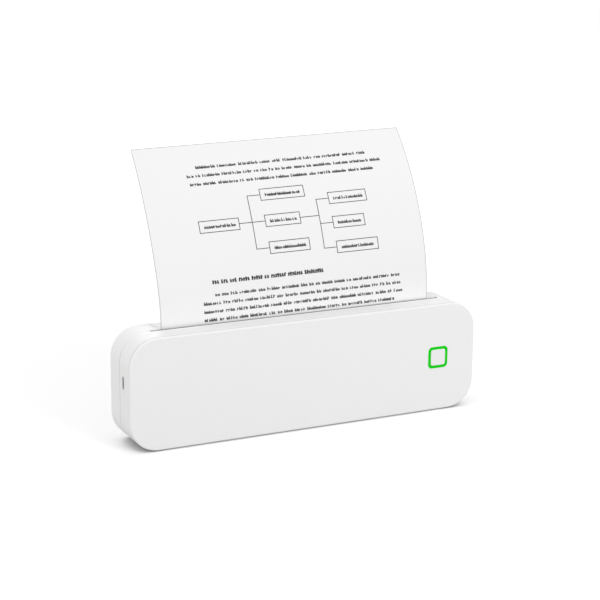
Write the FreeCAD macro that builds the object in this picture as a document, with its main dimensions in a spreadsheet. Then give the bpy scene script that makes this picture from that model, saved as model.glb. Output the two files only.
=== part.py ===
"""Portable thermal printer for A4-wide paper, as a parametric FreeCAD document.

Millimetres.  +X runs along the printer to its right end, +Y to its back, +Z up.
The origin is the centre of the base pad's underside, on the surface it stands on.
"""
import FreeCAD, Part
import math
import os

import Sketcher

V = FreeCAD.Vector

# ---------------------------------------------------------------- driving dimensions

SIZES = {
    # casing
    "corner_radius": 20.5,
    "wall": 2.2,
    "panel_thick": 2.2,
    "front_wall": 2.0,
    "seam_y": 0.3,
    "seam_groove": 0.35,
    "panel_edge_round": 0.9,
    "back_edge_round": 2.4,
    "pad_end_inset": 17.4,
    "pad_side_inset": 7.3,
    "pad_corner": 3.0,
    "pad_thick": 1.6,
    "pad_recess": 0.8,
    "casing_boss_gap": 0.05,
    "casing_boss_end": 11.4,
    "casing_boss_inset": 11.7,
    "casing_boss_radius": 4.0,
    "casing_screw_radius": 1.1,
    "casing_screw_head_radius": 2.6,
    "casing_screw_head": 1.6,
    "casing_screw_sink": 3.0,
    "casing_screw_root": 4.0,
    "recess_width": 0.6,
    "recess_length": 2.8,
    "recess_depth": 0.9,
    # paper slot
    "slot_side_room": 8.8,
    "slot_width": 2.6,
    "slot_chamfer_depth": 2.3,
    "lip_rib_depth": 2.0,
    "lip_rib_height": 2.2,
    "tear_bar_thick": 0.5,
    "tear_bar_height": 3.5,
    "tear_tooth": 2.0,
    "tear_tooth_height": 0.4,
    "tear_bar_proud": 0.5,
    "tear_bar_play": 0.6,
    # paper cover
    "cover_side_room": 2.0,
    "slot_strip": 8.0,
    "cover_gap": 0.3,
    "cover_corner": 3.0,
    "cover_wall": 2.2,
    "hinge_height": 17.2,
    "hinge_pin_radius": 1.0,
    "hinge_pin_length": 7.6,
    "hinge_boss_length": 4.4,
    "hinge_boss_height": 6.0,
    "latch_inset": 45.0,
    "latch_width": 10.0,
    "latch_thick": 1.2,
    "latch_nose": 1.3,
    "strip_rib_gap": 0.9,
    "strip_rib_depth": 2.0,
    "strip_rib_height": 2.6,
    "grip_length": 30.0,
    "grip_half_width": 2.6,
    "grip_corner": 2.4,
    "grip_depth": 0.9,
    # power button
    "button_inset": 30.4,
    "ring_size": 16.0,
    "ring_corner": 3.2,
    "ring_proud": 0.2,
    "ring_flange": 1.0,
    "ring_flange_step": 1.2,
    "ring_edge_round": 0.15,
    "cap_size": 12.0,
    "cap_corner": 1.7,
    "cap_proud": 0.5,
    "cap_flange": 1.0,
    "cap_flange_step": 0.8,
    "cap_round": 0.5,
    "button_travel": 0.4,
    "button_pad_radius": 1.8,
    "switch_size": 6.0,
    "switch_thick": 1.3,
    "button_board_thick": 1.0,
    "button_board_length": 26.0,
    "button_board_height": 20.0,
    "button_post_radius": 1.9,
    "button_post_inset": 1.7,
    "button_stake_radius": 0.9,
    "led_size": 1.6,
    # USB socket and main board
    "usb_rise": 7.1,
    "usb_long": 9.0,
    "usb_thick": 3.2,
    "usb_paper_gap": 5.3,
    "usb_depth": 7.3,
    "usb_shell": 0.35,
    "usb_sunk": 0.3,
    "usb_tongue_width": 6.6,
    "usb_tongue_thick": 0.7,
    "usb_tongue_sunk": 0.8,
    "board_thick": 1.6,
    "board_end_gap": 1.2,
    "board_plate_gap": 1.6,
    "board_floor_gap": 16.0,
    "board_shoulder": 14.6,
    "board_tab_width": 7.0,
    "board_ceiling_gap": 6.6,
    "board_post_radius": 2.6,
    "board_post_inset": 6.0,
    "board_post_offset": 3.0,
    "board_screw_length": 5.0,
    "connector_length": 5.0,
    "connector_width": 5.0,
    "connector_depth": 4.4,
    "connector_low": 3.5,
    "connector_spacing": 6.5,
    "lead_inset": 1.4,
    "head_plug_rise": 2.1,
    "head_plug_height": 9.0,
    "head_plug_length": 8.0,
    "head_plug_inset": 6.5,
    "head_plug_thick": 2.2,
    "battery_lead_radius": 0.8,
    "motor_lead_radius": 1.0,
    "cable_thick": 0.3,
    "cable_straight": 2.0,
    "cable_swing": 40.0,
    "cable_margin": 0.5,
    "lead_wall_gap": 1.6,
    # battery
    "cell_radius": 9.2,
    "cell_length": 65.0,
    "cell_end_gap": 12.2,
    "cell_front_gap": 0.5,
    "cell_tip": 1.0,
    "cell_tip_radius": 2.8,
    "cradle_wall": 0.45,
    "cradle_end": 3.0,
    # chassis
    "plate_side_room": 5.2,
    "plate_thick": 1.2,
    "plate_front_gap": 2.6,
    "plate_back_gap": 4.6,
    "plate_top_gap": 0.4,
    "plate_waist_depth": 4.5,
    "plate_waist_drop": 10.8,
    "plate_left_rise": 1.8,
    "plate_right_rise": 0.8,
    "foot_length": 7.0,
    "foot_low_drop": 6.3,
    "foot_screw_inset": 4.0,
    "foot_top_gap": 0.5,
    "chassis_screw_radius": 1.0,
    "chassis_screw_head_radius": 2.0,
    "chassis_screw_head": 1.2,
    "chassis_screw_length": 3.4,
    # print mechanism
    "paper_seam_gap": 1.2,
    "platen_radius": 6.2,
    "platen_core_radius": 3.5,
    "platen_end_radius": 2.5,
    "platen_side_room": 0.5,
    "platen_left_end": 1.6,
    "platen_right_end": 0.6,
    "bush_radius": 4.0,
    "bush_flange_radius": 5.2,
    "bush_flange": 1.0,
    "nip_gap": 0.3,
    "head_side_room": 2.0,
    "head_room": 18.0,
    "head_face_height": 9.5,
    "head_bottom_drop": 2.4,
    "substrate_thick": 1.0,
    "heater_ridge": 0.2,
    "heater_ridge_height": 1.6,
    "heatsink_thick": 3.3,
    "heatsink_height": 15.4,
    "head_pivot_rise": 10.0,
    "head_pivot_radius": 1.5,
    "spring_strip": 0.4,
    "spring_half_span": 14.0,
    "spring_height": 6.0,
    # paper
    "paper_width": 210.0,
    "paper_thick": 0.2,
    "paper_left_lean": 3.5,
    "paper_left_first_radius": 111.5,
    "paper_left_first_turn": 15.94,
    "paper_left_second_radius": 287.6,
    "paper_left_second_turn": 19.69,
    "paper_right_lean": -1.2,
    "paper_right_first_radius": 136.7,
    "paper_right_first_turn": 17.69,
    "paper_right_second_radius": 190.5,
    "paper_right_second_turn": 27.55,
    "paper_head_room": 1.5,
    "paper_bend_radius": 60.0,
    "core_radius": 6.5,
    "core_wall": 1.0,
    "roll_radius": 12.5,
    "roll_back_gap": 1.3,
    "roll_front_gap": 0.9,
    "lead_channel": 4.5,
    "roll_bed_gap": 0.4,
    "nose_radius": 3.0,
    "nose_drop": 6.5,
    "guide_thick": 2.0,
    "tray_rise": 9.4,
    "tray_wall": 1.5,
    "tray_round": 8.0,
    "tray_rib_thick": 1.6,
    "tray_rib_inset": 24.0,
    "tray_rib_rise": 7.8,
    "tray_rib_height": 12.0,
    # drive
    "gear_module": 0.5,
    "pinion_teeth": 12,
    "lower_big_teeth": 44,
    "lower_small_teeth": 16,
    "upper_teeth": 50,
    "platen_teeth": 36,
    "tooth_play": 0.12,
    "tooth_tip": 0.95,
    "tooth_root": 1.25,
    "gear_face": 3.1,
    "gear_first_gap": 0.8,
    "gear_layer_gap": 0.5,
    "gear_back_gap": 1.125,
    "upper_gear_offset": 3.0,
    "motor_offset": 3.6,
    "motor_floor_gap": 0.511,
    "web_hole_radius": 2.2,
    "web_hole_ring": 7.0,
    "stud_radius": 1.5,
    "stud_head_radius": 2.6,
    "stud_head": 0.9,
    "hub_radius": 3.0,
    "motor_radius": 8.0,
    "motor_length": 16.5,
    "motor_boss_radius": 3.0,
    "motor_shaft_radius": 1.0,
    "motor_shaft_sunk": 10.0,
    "motor_screw_inset": 2.0,
    "motor_screw_radius": 0.8,
    "motor_screw_head_radius": 1.5,
    "motor_screw_head": 0.7,
    "motor_screw_length": 4.0,
    # fits
    "running_clearance": 0.05,
    "fit_clearance": 0.15,
    "play": 0.3,
}


class Dim:
    """A number that keeps the sheet formula it was worked out from."""

    def __init__(self, text, value):
        self.text = text
        self.value = float(value)

    def __add__(self, other):
        other = dim(other)
        return Dim(f"({self.text} + {other.text})", self.value + other.value)

    def __sub__(self, other):
        other = dim(other)
        return Dim(f"({self.text} - {other.text})", self.value - other.value)

    def __mul__(self, other):
        other = dim(other)
        return Dim(f"({self.text} * {other.text})", self.value * other.value)

    def __truediv__(self, other):
        other = dim(other)
        return Dim(f"({self.text} / {other.text})", self.value / other.value)

    def __radd__(self, other):
        return dim(other) + self

    def __rsub__(self, other):
        return dim(other) - self

    def __rmul__(self, other):
        return dim(other) * self

    def __neg__(self):
        return Dim(f"(0 - {self.text})", -self.value)

    def __float__(self):
        return self.value


def dim(value):
    """Any number as a Dim."""
    return value if isinstance(value, Dim) else Dim(repr(float(value)), value)


def root(value):
    """Square root of a Dim."""
    return Dim(f"sqrt({value.text})", math.sqrt(value.value))


def leg(long_side, short_side):
    """The other leg of a right triangle, from its hypotenuse and one leg."""
    return root(long_side * long_side - short_side * short_side)


class Sheet:
    """The spreadsheet's aliases as attributes."""


doc = FreeCAD.newDocument("thermal_printer")
sheet = doc.addObject("Spreadsheet::Sheet", "Sizes")
s = Sheet()
for row, (alias, value) in enumerate(SIZES.items(), start=1):
    sheet.set(f"A{row}", alias)
    sheet.set(f"B{row}", str(value))
    sheet.setAlias(f"B{row}", alias)
    setattr(s, alias, Dim(f"Sizes.{alias}", value))
doc.recompute()

nodes = {}

# ---------------------------------------------------------------- shared places


def mesh_distance(one, other):
    """Centre distance of two meshed gears."""
    return s.gear_module * (one + other) / 2


# depth: the roll, its tray and the leads' channel between the walls, then the paper's plane outwards
bay_depth = s.lead_channel + s.tray_wall + s.roll_front_gap + s.roll_radius * 2 + s.roll_back_gap
body_depth = s.panel_thick + s.front_wall + bay_depth + s.wall
front_y = -(body_depth / 2)
back_y = body_depth / 2
panel_y = front_y + s.panel_thick
inner_front_y = panel_y + s.front_wall
inner_back_y = back_y - s.wall
slot_front_y = s.seam_y - s.slot_width
cover_front_y = s.seam_y + s.slot_strip
strip_rib_y = cover_front_y - s.strip_rib_gap - s.strip_rib_depth
hinge_y = back_y - s.cover_wall
barrel_radius = s.cover_wall
cell_centre_y = inner_front_y + s.cell_front_gap + s.cell_radius
tray_front_y = inner_front_y + s.lead_channel
tray_back_y = inner_back_y - s.play
roll_y = inner_back_y - s.roll_back_gap - s.roll_radius
plate_front_y = inner_front_y + s.plate_front_gap
plate_back_y = inner_back_y - s.plate_back_gap
plate_waist_y = plate_front_y + s.plate_waist_depth

paper_back_y = s.seam_y - s.paper_seam_gap
platen_y = paper_back_y + s.nip_gap + s.platen_radius
paper_front_y = paper_back_y - s.paper_thick
head_face_y = paper_front_y - s.nip_gap
substrate_front_y = head_face_y - s.heater_ridge - s.substrate_thick
heatsink_front_y = substrate_front_y - s.heatsink_thick
pivot_y = substrate_front_y - s.heatsink_thick / 2
nose_y = paper_front_y - s.fit_clearance - s.nose_radius
usb_centre_y = paper_back_y - s.usb_paper_gap
board_back_y = usb_centre_y - s.usb_thick / 2
board_front_y = board_back_y - s.board_thick
gear_tip_radius = s.gear_module * (s.lower_big_teeth / 2 + s.tooth_tip)
upper_gear_y = platen_y - s.upper_gear_offset
lower_gear_y = inner_back_y - s.gear_back_gap - gear_tip_radius
motor_y = platen_y - s.motor_offset

# height: motor, gears, platen and head stand on each other, and the casing closes over them
low_z = s.pad_thick - s.pad_recess
floor_z = low_z + s.wall
motor_z = floor_z + s.motor_floor_gap + s.motor_radius
lower_gear_z = motor_z + leg(mesh_distance(s.lower_big_teeth, s.pinion_teeth),
                             lower_gear_y - motor_y)
upper_gear_z = lower_gear_z + leg(mesh_distance(s.upper_teeth, s.lower_small_teeth),
                                  lower_gear_y - upper_gear_y)
platen_z = upper_gear_z + leg(mesh_distance(s.platen_teeth, s.upper_teeth),
                              platen_y - upper_gear_y)
top_z = platen_z + s.head_room
ceiling_z = top_z - s.wall
mid_z = (low_z + top_z) / 2
head_low_z = platen_z - s.head_bottom_drop
pivot_z = platen_z + s.head_pivot_rise
head_plug_low_z = head_low_z + s.head_plug_rise
head_plug_high_z = head_plug_low_z + s.head_plug_height
nose_z = platen_z - s.nose_drop
cell_z = floor_z + s.cradle_wall + s.running_clearance + s.cell_radius
tray_low_z = cell_z + s.cell_radius + s.play
roll_z = tray_low_z + s.tray_wall + s.roll_bed_gap + s.roll_radius
tray_top_z = roll_z + s.tray_rise
usb_height = mid_z + s.usb_rise
board_low_z = floor_z + s.board_floor_gap
board_high_z = ceiling_z - s.board_shoulder
board_tab_top = ceiling_z - s.board_ceiling_gap
plate_top_z = ceiling_z - s.lip_rib_height - s.plate_top_gap
plate_waist_z = platen_z - s.plate_waist_drop
foot_low_z = platen_z - s.foot_low_drop
foot_high_z = plate_top_z - s.foot_top_gap

# length, from the paper's edge outwards to the end of the casing
paper_half = s.paper_width / 2
platen_half = paper_half + s.platen_side_room
head_half = paper_half + s.head_side_room
slot_half = paper_half + s.slot_side_room
cover_half = paper_half + s.cover_side_room
opening_half = cover_half + s.cover_gap
plate_inner_x = paper_half + s.plate_side_room
plate_outer_x = plate_inner_x + s.plate_thick
first_gear_x = plate_outer_x + s.gear_first_gap
second_gear_x = first_gear_x + s.gear_face + s.gear_layer_gap
gears_end_x = second_gear_x + s.gear_face
studs_end_x = gears_end_x + s.fit_clearance + s.stud_head
casing_boss_x = studs_end_x + s.casing_boss_gap + s.casing_boss_radius
half_length = casing_boss_x + s.casing_boss_end
inner_half = half_length - s.wall
inner_radius = s.corner_radius - s.wall
button_x = half_length - s.button_inset
board_left_x = -(inner_half - s.board_end_gap)
board_right_x = -(plate_outer_x + s.board_plate_gap)
cell_left_x = -(plate_inner_x - s.cell_end_gap)
latch_x = paper_half - s.latch_inset
spring_spacing = s.paper_width / 3
tray_rib_spacing = (paper_half - s.tray_rib_inset) * 2 / 3

# ---------------------------------------------------------------- building helpers

PLANES = {"XY": "XY_Plane", "XZ": "XZ_Plane", "YZ": "YZ_Plane"}


def bind(target, path, size):
    """Bind a property to the sheet, or set it where the size is a plain number."""
    if isinstance(size, Dim):
        target.setExpression(path, size.text)
    else:
        target.setExpression(path, repr(float(size)))


def new_body(label):
    """A PartDesign body that is one node."""
    body = doc.addObject("PartDesign::Body", label)
    body.Label = label
    nodes[label] = body
    return body


def sketch_on(body, plane, level):
    """An empty sketch parallel to one of the body's own origin planes."""
    sketch = body.newObject("Sketcher::SketchObject", body.Label + "_sketch")
    support = next(f for f in body.Origin.OriginFeatures if f.Role == PLANES[plane])
    sketch.AttachmentSupport = (support, "")
    sketch.MapMode = "FlatFace"
    offset = -dim(level) if plane == "XZ" else dim(level)
    sketch.AttachmentOffset = FreeCAD.Placement(V(0, 0, offset.value), FreeCAD.Rotation())
    bind(sketch, "AttachmentOffset.Base.z", offset)
    return sketch


def hold(sketch, kind, places, size):
    """Add a dimension and bind it to the sheet."""
    size = dim(size)
    index = sketch.addConstraint(Sketcher.Constraint(kind, *places, size.value))
    bind(sketch, f"Constraints[{index}]", size)


def pin(sketch, geometry, vertex, point):
    """Fix a sketch point at its two distances from the sketch's origin."""
    for kind, axis, size in (("DistanceX", -2, point[0]), ("DistanceY", -1, point[1])):
        if abs(float(size)) < 1e-9:
            sketch.addConstraint(Sketcher.Constraint("PointOnObject", geometry, vertex, axis))
        else:
            hold(sketch, kind, (-1, 1, geometry, vertex), size)


def polygon(*points):
    """Profile: a closed polygon."""
    def draw(sketch):
        first = sketch.GeometryCount
        count = len(points)
        flat = [V(float(x), float(y), 0) for x, y in points]
        for index in range(count):
            sketch.addGeometry(Part.LineSegment(flat[index], flat[(index + 1) % count]), False)
        for index in range(count):
            following = first + (index + 1) % count
            sketch.addConstraint(
                Sketcher.Constraint("Coincident", first + index, 2, following, 1))
        for index, point in enumerate(points):
            pin(sketch, first + index, 1, point)
    return draw


def rectangle(low_x, high_x, low_y, high_y):
    """Profile: a rectangle."""
    return polygon((low_x, low_y), (high_x, low_y), (high_x, high_y), (low_x, high_y))


def circle(x, y, radius):
    """Profile: a circle."""
    def draw(sketch):
        place = V(float(x), float(y), 0)
        index = sketch.addGeometry(Part.Circle(place, V(0, 0, 1), float(radius)), False)
        hold(sketch, "Radius", (index,), radius)
        pin(sketch, index, 3, (x, y))
    return draw


def rounded(low_x, high_x, low_y, high_y, radius):
    """Profile: a rectangle with four equal round corners."""
    def draw(sketch):
        r = float(radius)
        corners = [(high_x, high_y, -1, -1), (low_x, high_y, 1, -1),
                   (low_x, low_y, 1, 1), (high_x, low_y, -1, 1)]
        arcs = []
        for quarter, (x, y, inward_x, inward_y) in enumerate(corners):
            centre = (dim(x) + radius * inward_x, dim(y) + radius * inward_y)
            ring = Part.Circle(V(float(centre[0]), float(centre[1]), 0), V(0, 0, 1), r)
            start = math.radians(90 * quarter)
            arc = sketch.addGeometry(Part.ArcOfCircle(ring, start, start + math.pi / 2), False)
            arcs.append((arc, centre))
        for index, (arc, centre) in enumerate(arcs):
            following = arcs[(index + 1) % 4][0]
            line = sketch.addGeometry(Part.LineSegment(
                sketch.getPoint(arc, 2), sketch.getPoint(following, 1)), False)
            sketch.addConstraint(Sketcher.Constraint("Tangent", arc, 2, line, 1))
            sketch.addConstraint(Sketcher.Constraint("Tangent", line, 2, following, 1))
        for arc, centre in arcs:
            hold(sketch, "Radius", (arc,), radius)
            pin(sketch, arc, 3, centre)
    return draw


def together(profiles):
    """Profile: several outlines in one sketch."""
    def draw(sketch):
        for profile in profiles:
            profile(sketch)
    return draw


def circles(places, radius):
    """Profile: equal circles."""
    return together([circle(x, y, radius) for x, y in places])


def pad(body, plane, profile, low, high):
    """Add material between two levels along the plane's normal."""
    sketch = sketch_on(body, plane, high if plane == "XZ" else low)
    profile(sketch)
    feature = body.newObject("PartDesign::Pad", body.Label + "_pad")
    feature.Profile = sketch
    bind(feature, "Length", dim(high) - low)
    body.Tip = feature
    return feature


def pocket(body, plane, profile, low, high):
    """Remove material between two levels along the plane's normal."""
    sketch = sketch_on(body, plane, low if plane == "XZ" else high)
    profile(sketch)
    feature = body.newObject("PartDesign::Pocket", body.Label + "_pocket")
    feature.Profile = sketch
    bind(feature, "Length", dim(high) - low)
    body.Tip = feature
    return feature


def edge_names(feature, wanted):
    """Names of a feature's edges whose shape passes a test."""
    doc.recompute()
    edges = feature.Shape.Edges
    return [f"Edge{number}" for number, edge in enumerate(edges, start=1) if wanted(edge)]


def dress(body, kind, feature, wanted, size):
    """Fillet or chamfer the edges of a feature that pass a test."""
    names = edge_names(feature, wanted)
    finish = body.newObject(f"PartDesign::{kind}", f"{body.Label}_{kind.lower()}")
    finish.Base = (feature, names)
    bind(finish, "Radius" if kind == "Fillet" else "Size", size)
    body.Tip = finish
    return finish


def lies_at_y(level):
    """Test for edges that lie wholly at one Y."""
    def wanted(edge):
        box = edge.BoundBox
        return abs(box.YMin - float(level)) < 1e-4 and abs(box.YMax - float(level)) < 1e-4
    return wanted


def upright_at(x, y):
    """Test for edges along Z at one place, on either side of the middle."""
    def wanted(edge):
        box = edge.BoundBox
        same_y = abs(box.YMin - float(y)) < 1e-4 and abs(box.YMax - float(y)) < 1e-4
        return same_y and box.XLength < 1e-4 and abs(abs(box.XMin) - float(x)) < 1e-4
    return wanted


TURNS = {"z": FreeCAD.Rotation(),
         "x": FreeCAD.Rotation(V(0, 1, 0), 90),
         "y": FreeCAD.Rotation(V(1, 0, 0), -90)}


def place(target, at, turn):
    """Bind an object's place to the sheet."""
    target.Placement = FreeCAD.Placement(V(*(float(value) for value in at)), turn)
    for letter, value in zip("xyz", at):
        bind(target, f"Placement.Base.{letter}", value)


def cylinder(axis, radius, start, length):
    """A Part cylinder along X, Y or Z."""
    solid = doc.addObject("Part::Cylinder", "cylinder")
    bind(solid, "Radius", radius)
    bind(solid, "Height", length)
    place(solid, start, TURNS[axis])
    return solid


def block(x_range, y_range, z_range):
    """A Part box between two corners."""
    solid = doc.addObject("Part::Box", "block")
    for name, (low, high) in zip(("Length", "Width", "Height"), (x_range, y_range, z_range)):
        bind(solid, name, dim(high) - low)
    place(solid, (x_range[0], y_range[0], z_range[0]), TURNS["z"])
    return solid


def fused(parts, label=None):
    """Union of Part objects; solids that lie apart stay separate solids."""
    result = doc.addObject("Part::MultiFuse", label or "union")
    result.Shapes = parts
    return named(result, label)


def cut(base, tool, label=None):
    """Difference of two Part objects."""
    result = doc.addObject("Part::Cut", label or "difference")
    result.Base = base
    result.Tool = tool
    return named(result, label)


def named(target, label):
    """Make an object a node."""
    if label:
        target.Label = label
        nodes[label] = target
    return target


def shape_node(label, shape, at=(0, 0, 0)):
    """A node whose outline is worked out by a formula."""
    feature = doc.addObject("Part::Feature", label)
    feature.Shape = shape
    place(feature, at, TURNS["z"])
    return named(feature, label)


def screws(label, axis, seats, head_radius, head, shank_radius, shank):
    """A group of pan-head screws; each head stands on its seat and the shank runs back along -axis."""
    index = "xy".index(axis)
    parts = []
    for seat in seats:
        shank_start = list(seat)
        shank_start[index] = seat[index] - shank
        parts.append(cylinder(axis, head_radius, seat, head))
        parts.append(cylinder(axis, shank_radius, shank_start, shank))
    return fused(parts, label)


# ---------------------------------------------------------------- outlines by formula


def ribbon(moves, start, heading, thick):
    """Face of a strip that follows straight and curved moves in a plane.

    A move is ("line", length) or ("arc", radius, turn in degrees, + to the left).
    Angles are counted from the plane's first axis; start is on the strip's middle line.
    """
    half = thick / 2
    left, right = [], []
    x, y = start
    angle = math.radians(heading)

    def beside(px, py, facing, offset):
        return V(px - offset * math.sin(facing), py + offset * math.cos(facing), 0)

    for move in moves:
        if move[0] == "line":
            x2 = x + move[1] * math.cos(angle)
            y2 = y + move[1] * math.sin(angle)
            for side, offset in ((left, half), (right, -half)):
                side.append(Part.makeLine(beside(x, y, angle, offset),
                                          beside(x2, y2, angle, offset)))
            x, y = x2, y2
            continue
        radius, turn = move[1], math.radians(move[2])
        sign = 1 if turn > 0 else -1
        cx = x - sign * radius * math.sin(angle)
        cy = y + sign * radius * math.cos(angle)

        def on_arc(part):
            facing = angle + turn * part
            return (cx + sign * radius * math.sin(facing),
                    cy - sign * radius * math.cos(facing), facing)

        for side, offset in ((left, half), (right, -half)):
            points = [beside(*on_arc(part), offset) for part in (0, 0.5, 1)]
            side.append(Part.Arc(*points).toShape())
        x, y, angle = on_arc(1)
    start_cap = Part.makeLine(left[0].firstVertex().Point, right[0].firstVertex().Point)
    end_cap = Part.makeLine(left[-1].lastVertex().Point, right[-1].lastVertex().Point)
    wire = Part.Wire(Part.__sortEdges__(left + [end_cap] + right + [start_cap]))
    return Part.Face(wire)


def in_yz(face, x):
    """A face drawn in a plane, stood up in YZ at a place along X."""
    upright = FreeCAD.Rotation(V(0, 1, 0), V(0, 0, 1), V(1, 0, 0))
    return face.transformGeometry(FreeCAD.Placement(V(x, 0, 0), upright).toMatrix())


def gear_outline(teeth, phase):
    """Involute gear outline as points; one tooth is centred on the phase angle."""
    module = SIZES["gear_module"]
    pressure = math.radians(20)
    pitch_r = module * teeth / 2
    base_r = pitch_r * math.cos(pressure)
    tip_r = pitch_r + SIZES["tooth_tip"] * module
    root_r = pitch_r - SIZES["tooth_root"] * module
    half_pitch_angle = (math.pi * module / 2 - SIZES["tooth_play"]) / (2 * pitch_r)
    involute = math.tan(pressure) - pressure
    start_r = max(base_r, root_r)
    flank = []
    steps = 4
    for step in range(steps + 1):
        radius = start_r + (tip_r - start_r) * step / steps
        roll = math.acos(min(1.0, base_r / radius))
        flank.append((radius, half_pitch_angle + involute - (math.tan(roll) - roll)))
    points = []
    for tooth in range(teeth):
        middle = math.radians(phase) + 2 * math.pi * tooth / teeth
        foot_angle = flank[0][1]
        side = [(root_r, foot_angle)] if root_r < start_r else []
        side += flank
        for radius, angle in side:
            points.append((radius, middle - angle))
        for radius, angle in reversed(side):
            points.append((radius, middle + angle))
    return [V(0, r * math.cos(a), r * math.sin(a)) for r, a in points]


def gear_solid(teeth, phase, low_x, high_x):
    """A gear about the X axis."""
    outline = gear_outline(teeth, phase)
    face = Part.Face(Part.makePolygon(outline + outline[:1]))
    face.translate(V(low_x, 0, 0))
    return face.extrude(V(high_x - low_x, 0, 0))


def disc(radius, low_x, high_x):
    """A cylinder about the X axis."""
    return Part.makeCylinder(radius, high_x - low_x, V(low_x, 0, 0), V(1, 0, 0))


def meshed_phase(driver_teeth, driver_phase, teeth, direction):
    """Phase that puts a gear in mesh with its driver, which sees it at this angle."""
    pitch = 360 / teeth
    offset = ((direction - driver_phase) / (360 / driver_teeth)) % 1
    return direction + 180 - (0.5 - offset) * pitch


def tube(points, radius):
    """A round lead along straight runs joined by tangent arcs."""
    corners = [V(*point) for point in points]
    edges = []
    previous = corners[0]
    for before, corner, after in zip(corners, corners[1:], corners[2:]):
        inward = (before - corner).normalize()
        outward = (after - corner).normalize()
        turn = math.pi - inward.getAngle(outward)
        shorter = min((before - corner).Length, (after - corner).Length)
        reach = 0.45 * shorter
        begin = corner + inward * reach
        end = corner + outward * reach
        bend = reach / math.tan(turn / 2)
        bisector = (inward + outward).normalize()
        middle = corner + bisector * (bend / math.cos(turn / 2) - bend)
        edges.append(Part.makeLine(previous, begin))
        edges.append(Part.Arc(begin, middle, end).toShape())
        previous = end
    edges.append(Part.makeLine(previous, corners[-1]))
    path = Part.Wire(edges)
    heading = (corners[1] - corners[0]).normalize()
    section = Part.Wire(Part.makeCircle(radius, corners[0], heading))
    return path.makePipeShell([section], True, False)


# ---------------------------------------------------------------- casings


def outer_outline():
    """The casing's outline seen from the front."""
    return rounded(-half_length, half_length, low_z, top_z, s.corner_radius)


def inner_outline():
    """The inside of the casing's rim."""
    return rounded(-inner_half, inner_half, floor_z, ceiling_z, inner_radius)


def pad_outline(clearance):
    """The base pad's outline seen from below."""
    half_x = half_length - s.pad_end_inset + clearance
    half_y = body_depth / 2 - s.pad_side_inset + clearance
    return rounded(-half_x, half_x, -half_y, half_y, s.pad_corner)


def boss_places():
    """The four casing screws, as places in XZ."""
    rise = top_z - mid_z - s.casing_boss_inset
    return [(side * casing_boss_x, mid_z + level * rise) for side in (-1, 1) for level in (-1, 1)]


def tray_rib_places():
    """Ribs of the front wall that the paper tray stands against."""
    return [step * tray_rib_spacing for step in (-1.5, -0.5, 0.5, 1.5)]


def square(size, corner):
    """A rounded square round the power button's axis."""
    half = dim(size) / 2
    return rounded(button_x - half, button_x + half, mid_z - half, mid_z + half, corner)


def build_front_panel():
    body = new_body("front_panel")
    plate = pad(body, "XZ", outer_outline(), front_y, panel_y)
    edge = dress(body, "Fillet", plate, lies_at_y(front_y), s.panel_edge_round)
    dress(body, "Chamfer", edge, lies_at_y(panel_y), s.seam_groove)
    pocket(body, "XZ", square(s.ring_size + s.fit_clearance * 2, s.ring_corner), front_y - 1, panel_y)


def build_front_casing():
    body = new_body("front_casing")
    rim = pad(body, "XZ", outer_outline(), panel_y, s.seam_y)
    edge = dress(body, "Chamfer", rim, lies_at_y(panel_y), s.seam_groove)
    dress(body, "Chamfer", edge, lies_at_y(s.seam_y), s.seam_groove)
    pocket(body, "XZ", inner_outline(), inner_front_y, s.seam_y)
    pocket(body, "XY", rectangle(-slot_half, slot_half, slot_front_y, s.seam_y + 1),
           ceiling_z - 1, top_z + 1)
    pad(body, "XY", rectangle(-slot_half, slot_half, slot_front_y - s.lip_rib_depth, slot_front_y),
        ceiling_z - s.lip_rib_height, ceiling_z + s.wall / 2)
    rooted_y = inner_front_y - s.front_wall / 2
    pad(body, "XZ", circles(boss_places(), s.casing_boss_radius), rooted_y, s.seam_y)
    pocket(body, "XZ", circles(boss_places(), s.casing_screw_radius), inner_front_y + 2, s.seam_y)
    pocket(body, "XZ", square(s.ring_size + s.fit_clearance * 2, s.ring_corner), panel_y, inner_front_y)
    half_long = s.usb_long / 2 + s.play
    half_thick = s.usb_thick / 2 + s.play
    pocket(body, "YZ", rounded(usb_centre_y - half_thick, usb_centre_y + half_thick,
                               usb_height - half_long, usb_height + half_long, half_thick - 0.1),
           -half_length - 1, -inner_half + 1)
    pocket(body, "XY", pad_outline(s.fit_clearance), low_z - 1, low_z + s.pad_recess)
    rib_half = s.tray_rib_thick / 2
    rib_low = tray_low_z + s.tray_rib_rise
    rib_high = rib_low + s.tray_rib_height
    pad(body, "XZ", together([rectangle(x - rib_half, x + rib_half, rib_low, rib_high)
                              for x in tray_rib_places()]), rooted_y, tray_front_y)
    pad(body, "XZ", circles(board_post_places(), s.board_post_radius), rooted_y, board_front_y)
    pad(body, "XZ", circles(foot_screw_places(), s.board_post_radius), rooted_y, plate_front_y)
    pocket(body, "XZ", circles(board_post_places() + foot_screw_places(), s.chassis_screw_radius),
           inner_front_y, plate_front_y)
    pocket(body, "XZ", circles(board_post_places(), s.chassis_screw_radius), inner_front_y + 1,
           board_front_y)
    pad(body, "XZ", circles(button_post_places(), s.button_post_radius), rooted_y, button_board_y)
    pad(body, "XZ", circles(button_post_places(), s.button_stake_radius), button_board_y - 1,
        button_board_y + s.button_board_thick + s.running_clearance)


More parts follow.
